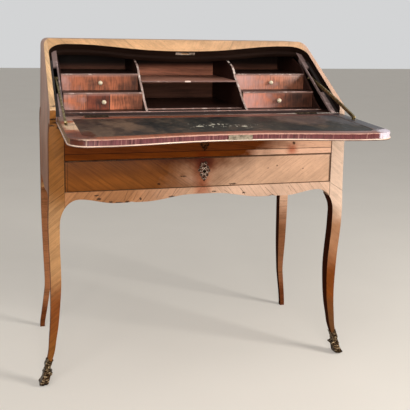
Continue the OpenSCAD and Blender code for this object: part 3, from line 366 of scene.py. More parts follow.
def veneer(name, aged, faded_and_lit, along, across, mirror=False, fade_and_light=(-0.4, 0.35), leaf=0.0, spread=0.3,
           figure=(7, 110), streak=(12, 330), gloss=0.4, cloud=(0.84, 1.08), spots=(), stains_and_shading=(), lines=(),
           seams=(), low=(), ior=1.5, patches=(), flecks=None, swing=1.0):
    """Old waxed veneer: figure, streaks and pores run with the grain, leaves meet at fine seams.

    figure and streak are waves a metre along and across the grain. The tone goes from the first colour to the second
    across the desk, partly real bleaching, partly painted shade at the left and painted light at the right. spots are
    dark knots and chips, as (place, reach); stains warm stain marks and patches of painted light and shade, as
    (place, reach, tone, strength); lines dark strings, joints and painted shade in gaps along an edge, as (axis,
    place, half width); seams cuts, as (x, z, x, z) of their two ends; low tones that come in between two heights, as
    (from, to, tone); patches bared or discoloured places and painted highlights, as (place, reach, colour, strength);
    flecks pale ticks along the grain, as (colour, rarity). swing is how far the grain's tones go.
    """
    mat, shader, add = blank(name, gloss, ior=ior)
    place = add("TexCoord").outputs["Object"]
    g = grain_place(add, place, along, across, mirror)
    tone = None
    if leaf:
        # Each leaf of veneer is cut from another part of the flitch, so that its figure and tone jump.
        parts = add("SeparateXYZ", (g,))
        count = add("Math MULTIPLY", (parts.outputs["Y"], 1 / leaf))
        number = add("Math FLOOR", (count,))
        share = add("Math FRACT", (count,))
        jump = add("TexWhiteNoise 1D", (number,))
        shift = add("VectorMath SCALE", (jump.outputs["Color"], 3.0))
        g = add("VectorMath ADD", (g, shift))
        tone = jump.outputs["Value"]
        seam = add("Math LESS_THAN", (share, 0.0006 / leaf))
    # Waves a metre; the pores are about 11 mm long and 1 mm apart.
    broad = add("VectorMath MULTIPLY", (g, (figure[0], figure[1], 20)))
    fine = add("VectorMath MULTIPLY", (g, (streak[0], streak[1], 60)))
    hair = add("VectorMath MULTIPLY", (g, (90, 900, 200)))
    bands = add("TexNoise", {"Vector": broad, "Scale": 1.0, "Detail": 3.0, "Distortion": 0.4})
    streaks = add("TexNoise", {"Vector": fine, "Scale": 1.0, "Detail": 2.0, "Distortion": 0.2})
    pores = add("TexNoise", (hair, 1.0, 1.0))
    level = add("Mix", (0.5, bands, streaks))
    if tone:
        level = add("Math MULTIPLY_ADD", (tone, 0.16, level))
    old = add("ValToRGB", (level,), shades(aged, spread, 1 - 0.44 * swing, 1 + 0.3 * swing))
    pale = add("ValToRGB", (level,), shades(faded_and_lit, spread, 1 - 0.24 * swing, 1 + 0.12 * swing))
    # Blotches about 90 mm across shift where the bleaching and painted light begin, and where a low tone comes in.
    across_desk = add("SeparateXYZ", (place,)).outputs["X"]
    blotch = add("TexNoise", (place, 11.0, 4.0, 0.6))
    shift_x, shift_z = 0.22, 0.12
    wander = add("Math MULTIPLY_ADD", (blotch, shift_x, across_desk))
    fade_and_light_mask = add("MapRange", (wander, fade_and_light[0] + shift_x / 2, fade_and_light[1] + shift_x / 2))
    skin = add("Mix RGBA", (fade_and_light_mask, old, pale))
    dirt = add("MapRange", (blotch, 0.32, 0.68, cloud[0], cloud[1]))
    skin = add("VectorMath SCALE", (skin, dirt))
    if low:
        height = add("SeparateXYZ", (place,)).outputs["Z"]
        height = add("Math MULTIPLY_ADD", (blotch, shift_z, height))
    for begin, end, shade in low:
        depth = add("MapRange SMOOTHSTEP", (height, begin + shift_z / 2, end + shift_z / 2))
        skin = add("Mix RGBA", (depth, skin, shade), blend_type="MULTIPLY")
    # Warm stain marks and patches of painted light and shade, multiplied into the skin.
    for spot, reach, shade, strength in stains_and_shading:
        rough = add("Math MULTIPLY_ADD", (blotch, 1.1, reaches(add, place, spot, reach)))
        mask = add("MapRange SMOOTHSTEP", (rough, 1.6, 0.7, 0, strength))
        stain_and_shade = add("Mix RGBA", (1.0, skin, shade), blend_type="MULTIPLY")
        skin = add("Mix RGBA", (mask, skin, stain_and_shade))
    if flecks:
        mask = add("MapRange", (streaks, flecks[1], flecks[1] + 0.07, 0, 0.75))
        skin = add("Mix RGBA", (mask, skin, flecks[0]))
    skin = patched(add, place, skin, patches)
    dark = add("MapRange", (pores, 0.60, 0.72, 0, 0.36 * swing))
    if leaf:
        dark = add("Math MULTIPLY_ADD", (seam, 0.6, dark))
    if spots or seams:
        # Torn and splintered outlines: the place is shaken by a couple of millimetres.
        shake = add("TexNoise", (place, 260.0, 3.0))
        shake = add("VectorMath SUBTRACT", (shake.outputs["Color"], (0.5, 0.5, 0.5)))
        shake = add("VectorMath SCALE", (shake, 0.006))
        torn = add("VectorMath ADD", (place, shake))
    for spot, reach in spots:
        mask = add("MapRange", (reaches(add, torn, spot, reach), 1.0, 0.55, 0, 0.9))
        dark = add("Math MAXIMUM", (dark, mask))
    cut, line_depth = 0.0007, 0.8
    for x0, z0, x1, z1 in seams:
        run = Vector((x1 - x0, 0, z1 - z0))
        half, run = run.length / 2, run.normalized()
        away = add("VectorMath SUBTRACT", (place, ((x0 + x1) / 2, 0, (z0 + z1) / 2)))
        near = strip(add, away, (-run.z, 0, run.x), 0.0, cut)
        near = add("Math MULTIPLY", (near, strip(add, away, run, 0.0, half)))
        dark = add("Math MULTIPLY_ADD", (near, 0.6, dark))
    for line in lines:
        dark = add("Math MULTIPLY_ADD", (strip(add, place, *line), line_depth, dark))
    skin = add("Mix RGBA", (dark, skin, "#2a160c"), clamp_factor=True)
    wax = add("MapRange", (bands, 0, 1, gloss - 0.1, gloss + 0.14))
    ridge = add("Math ADD", (pores, streaks))
    bump = add("Bump", {"Strength": 0.25, "Distance": 0.0003, "Height": ridge})
    feed(mat, shader, {"Base Color": skin, "Roughness": wax, "Normal": bump})
    return mat


def nest_mahogany(name, tone, node, sheen_span=(0.1, 0.75), panel=False, right_shadow=(0.60, 1.0, 0.45)):
    """Mahogany cut from a crotch: fine ripples stand across it, a pale sheen is painted over its left end and top
    edge, and a painted shadow darkens its right end.
    """
    mat, shader, add = blank(name, 0.32, ior=1.4)
    low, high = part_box(node)
    wide, tall = high.x - low.x, high.z - low.z
    place = add("TexCoord").outputs["Object"]
    own = add("VectorMath SUBTRACT", (place, tuple(low)))
    own = add("VectorMath MULTIPLY", (own, (1 / wide, 1.0, 1 / tall)))
    parts = add("SeparateXYZ", (own,))
    # Ripples 3 mm apart and nearly 40 mm long, over a slower glow.
    ripple = add("VectorMath MULTIPLY", (place, (330, 30, 26)))
    ripple = add("TexNoise", {"Vector": ripple, "Scale": 1.0, "Detail": 2.0, "Distortion": 0.7})
    glow = add("VectorMath MULTIPLY", (place, (34, 20, 40)))
    glow = add("TexNoise", (glow, 1.0, 2.0))
    level = add("Mix", (0.5, ripple, glow))
    skin = add("ValToRGB", (level,), [(at, tone_of(tone, k)) for at, k in ((0.38, 0.42), (0.48, 0.95), (0.60, 1.7))])
    if panel:
        # The middle is a separate darker leaf between two seams.
        middle = add("Math COMPARE", (parts.outputs["X"], 0.43, 0.145))
        skin = add("Mix RGBA", (middle, skin, "#a78b82"), blend_type="MULTIPLY")
        seam = add("Math COMPARE", (parts.outputs["X"], 0.575, 0.006))
        skin = add("Mix RGBA", (seam, skin, "#27120c"))
    # A pale pink sheen is painted over the left end, wandering with the figure, and along the top edge.
    wander = add("Math MULTIPLY_ADD", (glow, 0.9, parts.outputs["X"]))
    painted_sheen = add("MapRange SMOOTHSTEP", (wander, sheen_span[1] + 0.3, sheen_span[0] + 0.3, 0, 0.68))
    rim = add("MapRange", (parts.outputs["Z"], 0.86, 0.97, 0, 0.3))
    painted_sheen = add("Math MAXIMUM", (painted_sheen, rim))
    skin = add("Mix RGBA", (painted_sheen, skin, "#d3a59f"))
    # A painted shadow darkens the right end, cast by the upright beside it.
    right_shadow = add("MapRange SMOOTHSTEP", (parts.outputs["X"], right_shadow[0], right_shadow[1], 1.0, right_shadow[2]))
    skin = add("VectorMath SCALE", (skin, right_shadow))
    bump = add("Bump", {"Strength": 0.2, "Distance": 0.0003, "Height": ripple})
    wax = add("MapRange", (glow, 0, 1, 0.24, 0.46))
    feed(mat, shader, {"Base Color": skin, "Roughness": wax, "Normal": bump})
    return mat


def board(name, tone, along, across, spread=0.34, gloss=0.5, worn=None, worn_at=0.62, lean=0.0, grain=(5, 90),
          ior=1.5, glow=(), bands=(), worn_above=None):
    """Solid board, stained or bare: long grain, open pores, and bare wood where hands wore it.

    lean makes the wear grow with x, and worn_above keeps it above a height. glow lists pools of painted light, as
    (height, half height, gain, half width); bands strips of another tone, as (axis, place, half width, tone).
    """
    mat, shader, add = blank(name, gloss, ior=ior)
    place = add("TexCoord").outputs["Object"]
    g = grain_place(add, place, along, across, False)
    broad = add("VectorMath MULTIPLY", (g, (grain[0], grain[1], 60)))
    # Pores 25 mm long and 1.4 mm apart.
    hair = add("VectorMath MULTIPLY", (g, (40, 700, 500)))
    rings = add("TexNoise", {"Vector": broad, "Scale": 1.0, "Detail": 4.0, "Distortion": 0.6})
    pores = add("TexNoise", (hair, 1.0, 1.0))
    skin = add("ValToRGB", (rings,), shades(tone, spread, 0.6, 1.35))
    ticks = add("MapRange", (pores, 0.58, 0.7, 0, 0.5))
    skin = add("Mix RGBA", (ticks, skin, tone_of(tone, 0.35)))
    parts = add("SeparateXYZ", (place,))
    # Pools of painted light lighten the skin about given heights.
    for height, half, gain, reach in glow:
        off = add("Math SUBTRACT", (parts.outputs["Z"], height))
        off = add("Math ABSOLUTE", (off,))
        painted_light = add("MapRange SMOOTHSTEP", (off, half, half * 0.4, 0, gain - 1))
        within = add("Math COMPARE", (parts.outputs["X"], 0.0, reach))
        painted_light = add("Math MULTIPLY_ADD", (painted_light, within, 1.0))
        skin = add("VectorMath SCALE", (skin, painted_light))
    if worn:
        rub = add("TexNoise", (place, 45.0, 5.0, 0.65))
        rub = add("Math MULTIPLY_ADD", (parts.outputs["X"], lean, rub))
        mask = add("MapRange", (rub, worn_at - 0.06, worn_at + 0.05))
        if worn_above:
            high = add("Math GREATER_THAN", (parts.outputs["Z"], worn_above))
            mask = add("Math MULTIPLY", (mask, high))
        skin = add("Mix RGBA", (mask, skin, worn))
    for *band, shade in bands:
        skin = add("Mix RGBA", (strip(add, place, *band), skin, shade))
    bump = add("Bump", {"Strength": 0.3, "Distance": 0.0004, "Height": pores})
    wax = add("MapRange", (rings, 0, 1, gloss - 0.08, gloss + 0.14))
    feed(mat, shader, {"Base Color": skin, "Roughness": wax, "Normal": bump})
    return mat


def metal(name, tone, dull, bright, roughness, scale, pits=0.0, chased=None):
    """Old metal: patina lies in the hollows, and high places are rubbed bright.

    A chased piece keeps the height of its modelling, from 0 to 1, as an attribute of its mesh; chased says at
    which heights it is dull, plain and bright.
    """
    mat, shader, add = blank(name, roughness, metallic=1.0)
    place = add("TexCoord").outputs["Object"]
    cloud = add("TexNoise", (place, scale, 5.0, 0.6))
    level = cloud
    if chased:
        height = add("Attribute height").outputs["Fac"]
        level = add("Mix", (0.25, height, level))
    skin = add("ValToRGB", (level,), list(zip(chased or (0.36, 0.5, 0.66), (dull, tone, bright))))
    # Grit of the casting and of wear, under 2 mm everywhere and finest on the mounts.
    grit = add("TexNoise", (place, scale * 6, 3.0))
    bump = add("Bump", {"Strength": 0.25 + pits, "Distance": 0.0003, "Height": grit})
    wear = add("MapRange", (cloud, 0.3, 0.7, roughness + 0.18, roughness - 0.08))
    feed(mat, shader, {"Base Color": skin, "Roughness": wear, "Normal": bump})
    return mat


def writing_leather(tone):
    """Tooling leather glued to the fall: blackened green, rubbed brown at its left, crazed and flecked, with painted
    reflections towards its right.
    """
    mat, shader, add = blank("Worn writing leather with painted sheen", 0.42, ior=1.18)
    place = add("TexCoord").outputs["Object"]
    parts = add("SeparateXYZ", (place,))
    cloud = add("VectorMath MULTIPLY", (place, (15, 9, 15)))
    cloud = add("TexNoise", (cloud, 1.0, 8.0, 0.72))
    base = add("ValToRGB", (cloud,), [(0.38, "#0c0d0c"), (0.46, tone), (0.56, "#332f29"), (0.66, "#5a4c42")])
    rubbed = add("ValToRGB", (cloud,), [(0.38, "#1a110d"), (0.47, "#433024"), (0.62, "#79614f")])
    # The dressing has gone from the left end, along the hinges, and from a place right of the middle.
    left = add("Math MULTIPLY_ADD", (cloud, -0.55, parts.outputs["X"]))
    left = add("MapRange SMOOTHSTEP", (left, -0.34, -0.60, 0, 0.9))
    rear = add("Math MULTIPLY_ADD", (cloud, 0.10, parts.outputs["Y"]))
    rear = add("MapRange", (rear, HINGE.y - 0.02, HINGE.y + 0.04, 0, 0.8))
    rub = add("Math MAXIMUM", (left, rear))
    worn = reaches(add, place, *on_fall(0.235, 0.07, 0.07, 0.11))
    worn = add("Math MULTIPLY_ADD", (cloud, -1.0, worn))
    worn = add("MapRange", (worn, 0.85, 0.3, 0, 0.9))
    rub = add("Math MAXIMUM", (rub, worn))
    skin = add("Mix RGBA", (rub, base, rubbed))
    # An orange-brown bared place at the left; at the right, a painted mauve-grey reflection and a painted blue-grey
    # sheen.
    skin = patched(add, place, skin, marks(on_fall, [
        (-0.352, 0.262, 0.016, 0.050, "#4f2207", 0.95), (0.245, 0.080, 0.075, 0.100, "#74605b", 0.55),
        (0.355, 0.090, 0.050, 0.120, "#6f6d74", 0.45)]))
    # Crazing about 7 mm wide, where the dressing dried and cracked.
    craze = add("TexVoronoi DISTANCE_TO_EDGE", (place, 140.0))
    crack = add("MapRange", (craze, 0.0, 0.06, 0.45, 0.0))
    skin = add("Mix RGBA", (crack, skin, "#0f0e0b"))
    # Scuffs run across the desk, 3 to 8 mm apart.
    scuff = add("VectorMath MULTIPLY", (place, (60, 130, 60)))
    scuff = add("TexNoise", (scuff, 1.0, 4.0))
    scuff = add("MapRange", (scuff, 0.58, 0.72, 0, 0.35))
    skin = add("Mix RGBA", (scuff, skin, "#8f8474"))
    # Pale flecks of 5 to 12 mm, thickest in front of the middle.
    flecks = add("VectorMath MULTIPLY", (place, (75, 60, 60)))
    flecks = add("TexNoise", (flecks, 1.0, 3.0, 0.6))
    near = reaches(add, place, *on_fall(0.0, 0.175, 0.11, 0.05))
    rarity = add("MapRange", (near, 0.3, 1.6, 0.60, 0.76))
    fleck = add("Math GREATER_THAN", (flecks, rarity))
    for x, u, wide in ((-0.064, 0.178, 0.010), (0.050, 0.190, 0.008), (-0.023, 0.152, 0.006)):
        spot = reaches(add, place, *on_fall(x, u, wide, 0.008))
        spot = add("Math MULTIPLY_ADD", (flecks, 1.6, spot))
        spot = add("Math LESS_THAN", (spot, 1.7))
        fleck = add("Math MAXIMUM", (fleck, spot))
    skin = add("Mix RGBA", (fleck, skin, "#c9c6b6"))
    polish = add("MapRange", (cloud, 0.35, 0.65, 0.34, 0.6))
    height = add("Math ADD", (craze, flecks))
    bump = add("Bump", {"Strength": 0.35, "Distance": 0.0005, "Height": height})
    feed(mat, shader, {"Base Color": skin, "Roughness": polish, "Normal": bump})
    return mat


def turned_bone(tone):
    """Turned bone: dense and ivory-coloured, with fine brown flecks along its grain."""
    mat, shader, add = blank("Turned bone", 0.28, ior=1.54)
    shader.inputs["Subsurface Weight"].default_value = 0.08
    shader.inputs["Subsurface Radius"].default_value = (0.003, 0.002, 0.001)
    place = add("TexCoord").outputs["Object"]
    # Flecks 8 mm long and 1 mm wide, coarser than real ones so that they show.
    run = add("VectorMath MULTIPLY", (place, (900, 120, 900)))
    fleck = add("TexNoise", (run, 1.0, 3.0))
    skin = add("ValToRGB", (fleck,), [(0.34, "#a58c62"), (0.45, tone), (0.7, tone_of(tone, 1.06))])
    bump = add("Bump", {"Strength": 0.15, "Distance": 0.0002, "Height": fleck})
    feed(mat, shader, {"Base Color": skin, "Normal": bump})
    return mat


FINISH = {}


def finishes():
    """Makes every finish once and keeps it by name."""
    if FINISH:
        return FINISH
    wood, fitting = bpy.context.scene.desk_woods, bpy.context.scene.desk_fittings
    front_low, front_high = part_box("drawer_front")
    rail_low, rail_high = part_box("drawer_rail")
    F = FINISH
    # A warm stain has run from the rail down over the drawer to the apron, and another from the bored hole.
    run = (*on_front(-0.004, 0.588, 0.036, 0.115), "#d58a62", 0.75)
    drip = (*on_front(0.262, 0.652, 0.026, 0.028), "#c98063", 0.8)
    # Tulipwood on the wide drawer: sawn across the heart, its leaves climb outwards from the middle.
    F["drawer"] = veneer(
        "Tulipwood veneer, drawer", wood.aged, wood.faded_and_lit, *turned(X, Z, 35), mirror=True, fade_and_light=(-0.10, 0.10),
        spread=0.30, figure=(6, 150), streak=(13, 380), cloud=(0.78, 1.1), swing=0.75, ior=1.2,
        # Painted light along the lower left; painted shade from the fall across the top, reaching down round the
        # mount.
        stains_and_shading=[run, *marks(on_front, [(-0.27, 0.576, 0.24, 0.030, (1.45, 1.5, 1.4, 1), 0.9),
                                       (-0.12, 0.642, 0.20, 0.026, "#d9c4b4", 0.9),
                                       (-0.01, front_high.z, 0.15, 0.044, (0.44, 0.27, 0.17, 1), 1.0),
                                       (-0.004, front_high.z - 0.016, 0.060, 0.045, "#c07a50", 0.8),
                                       # The last is a pale bluish spot, left of the lock.
                                       (-0.045, 0.575, 0.035, 0.018, (1.6, 1.8, 2.2, 1), 0.6)])],
        spots=marks(on_front, [(-0.129, 0.566, 0.006, 0.0035), (0.19, 0.60, 0.0025, 0.002),
                               (0.085, 0.558, 0.014, 0.003), (-0.06, 0.585, 0.012, 0.002),
                               (0.217, 0.606, 0.003, 0.0025), (0.298, 0.595, 0.0025, 0.002)]),
        # The string near the left end is inlaid; the other dark lines are painted shade in the gaps round the drawer.
        lines=[(X, front_low.x + 0.0068, 0.0006), (X, front_low.x, 0.0018), (X, front_high.x, 0.0042),
               (Z, front_high.z, 0.0022), (Z, front_low.z, 0.0012)])
    chips = [(-0.294, 0.531, 8, 4), (-0.240, 0.5175, 14, 4), (-0.217, 0.5190, 7, 5), (-0.092, 0.5280, 11, 4),
             (0.203, 0.516, 11, 7), (-0.30, 0.541, 8, 3), (0.118, 0.531, 6, 3), (-0.18, 0.527, 4, 5),
             (-0.262, 0.521, 6, 3), (0.03, 0.5385, 9, 2)]
    F["apron"] = veneer(
        "Tulipwood veneer, apron", "#ab7850", "#d3b29c", *turned(X, -Z, 50), mirror=True, leaf=0.024,
        figure=(7, 130), streak=(13, 360), fade_and_light=(-0.22, 0.12), spread=0.4, swing=0.8, ior=1.3, stains_and_shading=[run],
        spots=[on_front(x, z, a / 1000, b / 1000) for x, z, a, b in chips],
        seams=[(-0.155, 0.548, -0.177, 0.516), (-0.188, 0.548, -0.200, 0.524), (-0.215, 0.552, -0.226, 0.522),
               (-0.122, 0.550, -0.136, 0.525), (-0.078, 0.553, -0.092, 0.530), (0.108, 0.545, 0.122, 0.526),
               (0.182, 0.545, 0.211, 0.517), (0.253, 0.546, 0.264, 0.530), (0.059, 0.542, 0.078, 0.529)],
        lines=[(Z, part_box("front_apron")[1].z, 0.0009)])
    # Tones painted in at three heights: on the left leg a painted pool of light below the post, on both darker to the
    # foot.
    for side, high, middle, foot in (
            ("left", (0.57, 0.46, (1.75, 2.4, 4.6, 1)), (0.36, 0.22, (0.49, 0.26, 0.13, 1)),
             (0.21, 0.08, (1.0, 1.25, 1.1, 1))),
            ("right", (0.50, 0.40, (0.57, 0.38, 0.25, 1)), (0.40, 0.24, (0.50, 0.25, 0.045, 1)),
             (0.24, 0.10, (0.66, 1.05, 3.4, 1)))):
        F[f"post {side}"] = veneer(
            f"Tulipwood veneer, {side} post", "#8d5c2c", "#d6bca9", *turned(X, -Z, 40), mirror=True,
            fade_and_light=(-0.3, 0.25), spread=0.34, figure=(8, 120), streak=(12, 330), swing=0.75, ior=1.2,
            low=[high, middle, foot],
            seams=[(-0.433, 0.540, -0.387, 0.575), (-0.433, 0.519, -0.387, 0.551), (0.389, 0.548, 0.430, 0.522)],
            spots=marks(on_front, [(-0.411, 0.7500, 0.020, 0.0028), (-0.404, 0.7405, 0.014, 0.0026),
                                   (-0.416, 0.7330, 0.012, 0.0024), (-0.399, 0.7270, 0.006, 0.0050)]),
            # The dark lines at the drawer's ends are painted shade in its gaps.
            lines=[(X, front_low.x, 0.0014), (X, front_high.x, 0.0022)])
    # Rail and frieze: dark at their left under a painted shadow of the open fall, and bleached towards the right.
    F["rail"] = veneer(
        "Tulipwood veneer, rail", "#723809", "#dcb39a", *turned(X, -Z, 5), fade_and_light=(0.08, 0.18), figure=(5, 140),
        spread=0.32, streak=(8, 360), swing=0.8, ior=1.12, stains_and_shading=[run, drip],
        # The dark lines are joints, and painted shade in the gap over the drawer.
        lines=[(Z, rail_high.z, 0.0009), (Z, rail_low.z, 0.0020), (X, front_low.x, 0.0012),
               (X, front_high.x, 0.0010)])
    F["frieze"] = veneer(
        "Tulipwood veneer, frieze", "#6f3710", "#d2a88e", *turned(X, -Z, 8), fade_and_light=(0.13, 0.28), figure=(5, 120),
        spread=0.32, streak=(8, 360), swing=0.8, ior=1.12, stains_and_shading=[drip],
        spots=marks(on_front, [(0.2662, 0.6704, 0.0056, 0.0050)]),
        lines=[(Z, rail_high.z, 0.0009), (X, front_low.x, 0.0012), (X, front_high.x, 0.0010)])
    # The sloping rail's leaves lean towards the middle, pale and strongly figured.
    F["slant"] = veneer(
        "Tulipwood veneer, slanted frame", "#dcae7e", "#dcb28c", *turned(X, UP_SLOPE, 62), mirror=True, leaf=0.085,
        spread=0.44, cloud=(0.7, 1.1))
    # The strips beside the fall run up the slope, chipped at their lower left.
    F["strip"] = veneer(
        "Tulipwood veneer, side strips", "#e9c092", "#ddb69e", *turned(UP_SLOPE, X, 14), mirror=True, spread=0.44,
        spots=[((-0.408, HINGE.y, 0.783), (0.016, 0.02, 0.0025)), ((-0.405, HINGE.y, 0.772), (0.013, 0.02, 0.002)),
               ((-0.412, HINGE.y, 0.797), (0.008, 0.02, 0.003))])
    # The top's leaves run from front to back, gone an even golden brown.
    F["top"] = veneer("Tulipwood veneer, top", "#a97a4b", "#b98c60", *turned(X, Y, 90), mirror=True, leaf=0.11)
    # Kingwood on the sides: broad slanting leaves, pinkish, and dark towards the floor.
    F["flank"] = veneer(
        "Kingwood veneer, sides", wood.flank, wood.flank, *turned(Y, Z, 58), leaf=0.09, gloss=0.5, spread=0.34,
        ior=1.4, low=[(0.80, 0.55, (0.61, 0.37, 0.19, 1))])
    # The legs' outer sides are a dull red-brown; their inner sides are painted darker, as painted shade.
    F["leg flank"] = veneer(
        "Kingwood veneer, sides of legs", "#7a4a32", "#5c3322", *turned(Y, Z, 4), leaf=0.03, gloss=0.45,
        figure=(14, 90), spread=0.4, ior=1.06)
    F["leg inner in shade"] = veneer(
        "Kingwood veneer in painted shade, inner sides of legs", "#3d1e12", "#3a1a0e", *turned(Y, Z, 4), leaf=0.03, gloss=0.6,
        figure=(14, 90), ior=1.04)
    # Narrow upright leaves on the rear legs: the left dark, in painted shade, the right pale above, in painted light;
    # both dark at the ankle.
    F["rear leg left"] = veneer(
        "Kingwood veneer, rear left leg", "#7b4d30", "#7b4d30", *turned(Y, Z, 4), leaf=0.022, figure=(16, 190),
        streak=(20, 420), gloss=0.45, ior=1.1,
        low=[(0.55, 0.40, (1.55, 1.7, 1.9, 1)), (0.12, 0.05, (0.42, 0.30, 0.20, 1))])
    F["rear leg right"] = veneer(
        "Kingwood veneer, rear right leg", "#ecc4a8", "#ecc4a8", *turned(X, Z, 3), leaf=0.022, figure=(16, 190),
        streak=(20, 420), gloss=0.45, swing=1.3, ior=1.06,
        low=[(0.50, 0.28, (0.27, 0.17, 0.11, 1)), (0.14, 0.04, (0.60, 0.42, 0.32, 1))])
    # The outside of the fall: wide golden-brown leaves, as on the top.
    F["fall outside"] = veneer(
        "Tulipwood veneer, outside of fall", "#a9773f", "#c8996a", *turned(X, Y, 35), mirror=True, leaf=0.13)
    # The banding on the fall's edge is purple-brown with pale ticks, and a dark piece at its left corner.
    F["fall edge"] = veneer(
        "Kingwood cross-banding, fall's edge", "#6f4146", "#633032", *turned(Z, X, 2), figure=(8, 160),
        streak=(10, 300), spread=0.30, gloss=0.34, swing=1.4, ior=1.35, flecks=("#a0766e", 0.60),
        # A painted highlight runs along the top arris, brightest at the left, and a painted shine lies on the right
        # tip.
        patches=[((0.0, HINGE.y - 0.32, HINGE.z - 0.0112), (1.2, 0.5, 0.0020), "#d9ac9b", 0.9),
                 ((-0.380, HINGE.y - 0.32, HINGE.z - 0.0112), (0.022, 0.5, 0.0022), "#eddccb", 1.0),
                 (*on_fall(0.405, 0.275, 0.056, 0.10), "#ddd2e0", 0.95),
                 (*on_fall(-0.402, 0.30, 0.034, 0.09), "#5c2d1c", 0.95),
                 (*on_fall(-0.364, 0.31, 0.0014, 0.09), "#b5978a", 0.7)],
        seams=[(-0.400, 0.7412, -0.366, 0.7416)])
    # The fall's ends are bare, and its lip has painted shade along its lower edge.
    F["fall end"] = board("Bare oak, fall's ends", "#94704f", Y, Z, gloss=0.55, ior=1.3)
    F["lip"] = board(
        "Bare holly lip", "#f3d5c4", X, Z, gloss=0.45, spread=0.4,
        bands=[(DOWN, HINGE.dot(DOWN) + 0.0176, 0.0014, "#4d2b1c")])
    # The banding is grey and bare at its rear left, then cream, then orange; its right end is near black.
    F["banding"] = veneer(
        "Kingwood cross-banding, fall", "#985230", "#86584f", *turned(Y, X, 4), leaf=0.03, figure=(10, 140),
        gloss=0.34, spread=0.34, fade_and_light=(-0.1, 0.25), ior=1.35,
        patches=marks(on_fall, [(-0.12, 0, 0.32, 0.016, "#9c8075", 0.9), (0.30, 0, 0.15, 0.020, "#8a6a60", 0.95),
                                (-0.385, 0.030, 0.050, 0.046, "#a38a80", 0.9),
                                (-0.370, 0.272, 0.040, 0.056, "#5c2400", 0.97),
                                (-0.368, 0.148, 0.032, 0.062, "#e9cbab", 0.97),
                                (-0.372, 0.324, 0.034, 0.010, "#c39f88", 0.95),
                                (0.405, 0.15, 0.080, 0.185, "#2c2a30", 0.97),
                                # Painted highlights: on the right tip, and a painted shine along the rear right.
                                (0.404, 0.312, 0.044, 0.046, "#dfd5e6", 0.95),
                                (0.310, 0, 0.10, 0.015, "#e6dad0", 0.95)]),
        spots=marks(on_fall, [(-0.352, 0.085, 0.005, 0.026), (-0.374, 0.122, 0.02, 0.004),
                              (-0.382, 0.138, 0.016, 0.003), (-0.354, 0.18, 0.004, 0.04),
                              (-0.39, 0.252, 0.03, 0.005), (-0.381, 0.104, 0.012, 0.004)]))
    # Beech stained nearly black, a dull waxed brown with hardly any grain to be seen.
    F["inside"] = board("Stained beech, compartment", wood.inside, X, Z, gloss=0.45, ior=1.25)
    # The back is near black, with pools of painted light above the centre shelf and in the lower bay.
    F["inside back"] = board(
        "Stained beech with painted light, compartment's back", "#1c0f0a", X, Z, gloss=0.5, ior=1.2,
        glow=[(0.842, 0.036, 12, 1.0), (0.842, 0.040, 3.8, 0.15), (0.788, 0.045, 9, 0.15)])
    F["inside top"] = board("Stained beech, tops of shelves", "#26140f", X, Y, gloss=0.4, grain=(4, 70), ior=1.3)
    # Hands have rubbed the stain from the edges, down to the pinkish wood; the centre shelf's top is painted light.
    F["lit shelf top"] = board("Beech in painted light, top of centre shelf", "#b98573", X, Y, gloss=0.36, grain=(4, 70), ior=1.4)
    F["shelf edge"] = board(
        "Rubbed beech, edge of centre shelf", "#7b5b54", X, Z, worn="#b79a90", worn_at=0.64, gloss=0.4,
        bands=[(X, -0.007, 0.009, "#f1dcd2")])
    # The nest's uprights take a darker copy of the stain, as painted shade on their sides.
    F["inside deep"] = board("Stained beech in painted shade, nest uprights", tone_of(wood.inside, 0.8), Z, Y, gloss=0.48, ior=1.25)
    # The rebate under the top rail is the stain deepened to near black, as painted shade.
    F["inside dark"] = board("Stained beech in painted shade, rebate", "#1b0f0a", X, Z, gloss=0.5, ior=1.2)
    F["inside edge"] = board("Rubbed edges of the nest", "#8d6e66", X, Z, worn="#c4aea6", worn_at=0.60, gloss=0.4)
    F["floor edge"] = board(
        "Worn front edge of the floor", "#6f4a40", X, Z, worn="#ece5df", worn_at=0.56, lean=0.35,
        worn_above=HINGE.z - 0.0045, gloss=0.4)
    F["divider edge"] = board(
        "Rubbed edges of the dividers", "#a9928b", UP_SLOPE, X, worn="#e3d8d1", worn_at=0.58, lean=0.15, gloss=0.42)
    # Only the ledges' inner side is rubbed; the outer one, beside the slot, keeps its dark stain.
    ledge_low, ledge_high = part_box("right_ledge")
    outer = [(X * sign, ledge_high.x - 0.005, 0.0051, "#1b0f0a") for sign in (-1, 1)]
    F["ledge"] = board(
        "Rubbed ledges", "#7d6a68", UP_SLOPE, X, worn="#a5918f", worn_at=0.60, gloss=0.5, bands=outer)
    # The stop rail is near black too, as painted shade under the top rail; its ends take the ledges' tone.
    F["stop rail"] = board(
        "Stained beech in painted shade, stop rail", "#1b0f0a", X, Z, gloss=0.5, ior=1.2,
        bands=[(X * sign, ledge_low.x + 0.007, 0.0075, "#7d6a68") for sign in (-1, 1)])
    # Mahogany drawer fronts, each with its own figure and tone, painted sheen at its left and painted shadow at its
    # right.
    for name, sheen_span, shade, right_shadow in (
            ("upper_left", (0.0, 0.45), (0.66, 0.63, 0.58), (0.6, 1.0, 0.45)),
            ("lower_left", (0.0, 0.4), (0.92, 0.92, 0.92), (0.6, 1.0, 0.4)),
            ("upper_right", (0.15, 0.85), (0.78, 0.95, 1.16), (0.6, 1.0, 0.42)),
            ("lower_right", (0.15, 0.75), (0.98, 1.04, 1.2), (0.15, 0.78, 0.13))):
        tone = tuple(c * k for c, k in zip(wood.mahogany, shade)) + (1.0,)
        F[name] = nest_mahogany(
            f"Figured mahogany, {name.replace('_', ' ')} drawer", tone, f"{name}_front", sheen_span, name == "lower_left",
            right_shadow)
    # Oak out of sight has no finish: dry, coarse and matt.
    F["oak"] = board("Bare oak", wood.carcass_oak, Y, X, gloss=0.62)
    F["oak upright"] = board("Bare oak, back", tone_of(wood.carcass_oak, 0.75), Z, X, gloss=0.62)
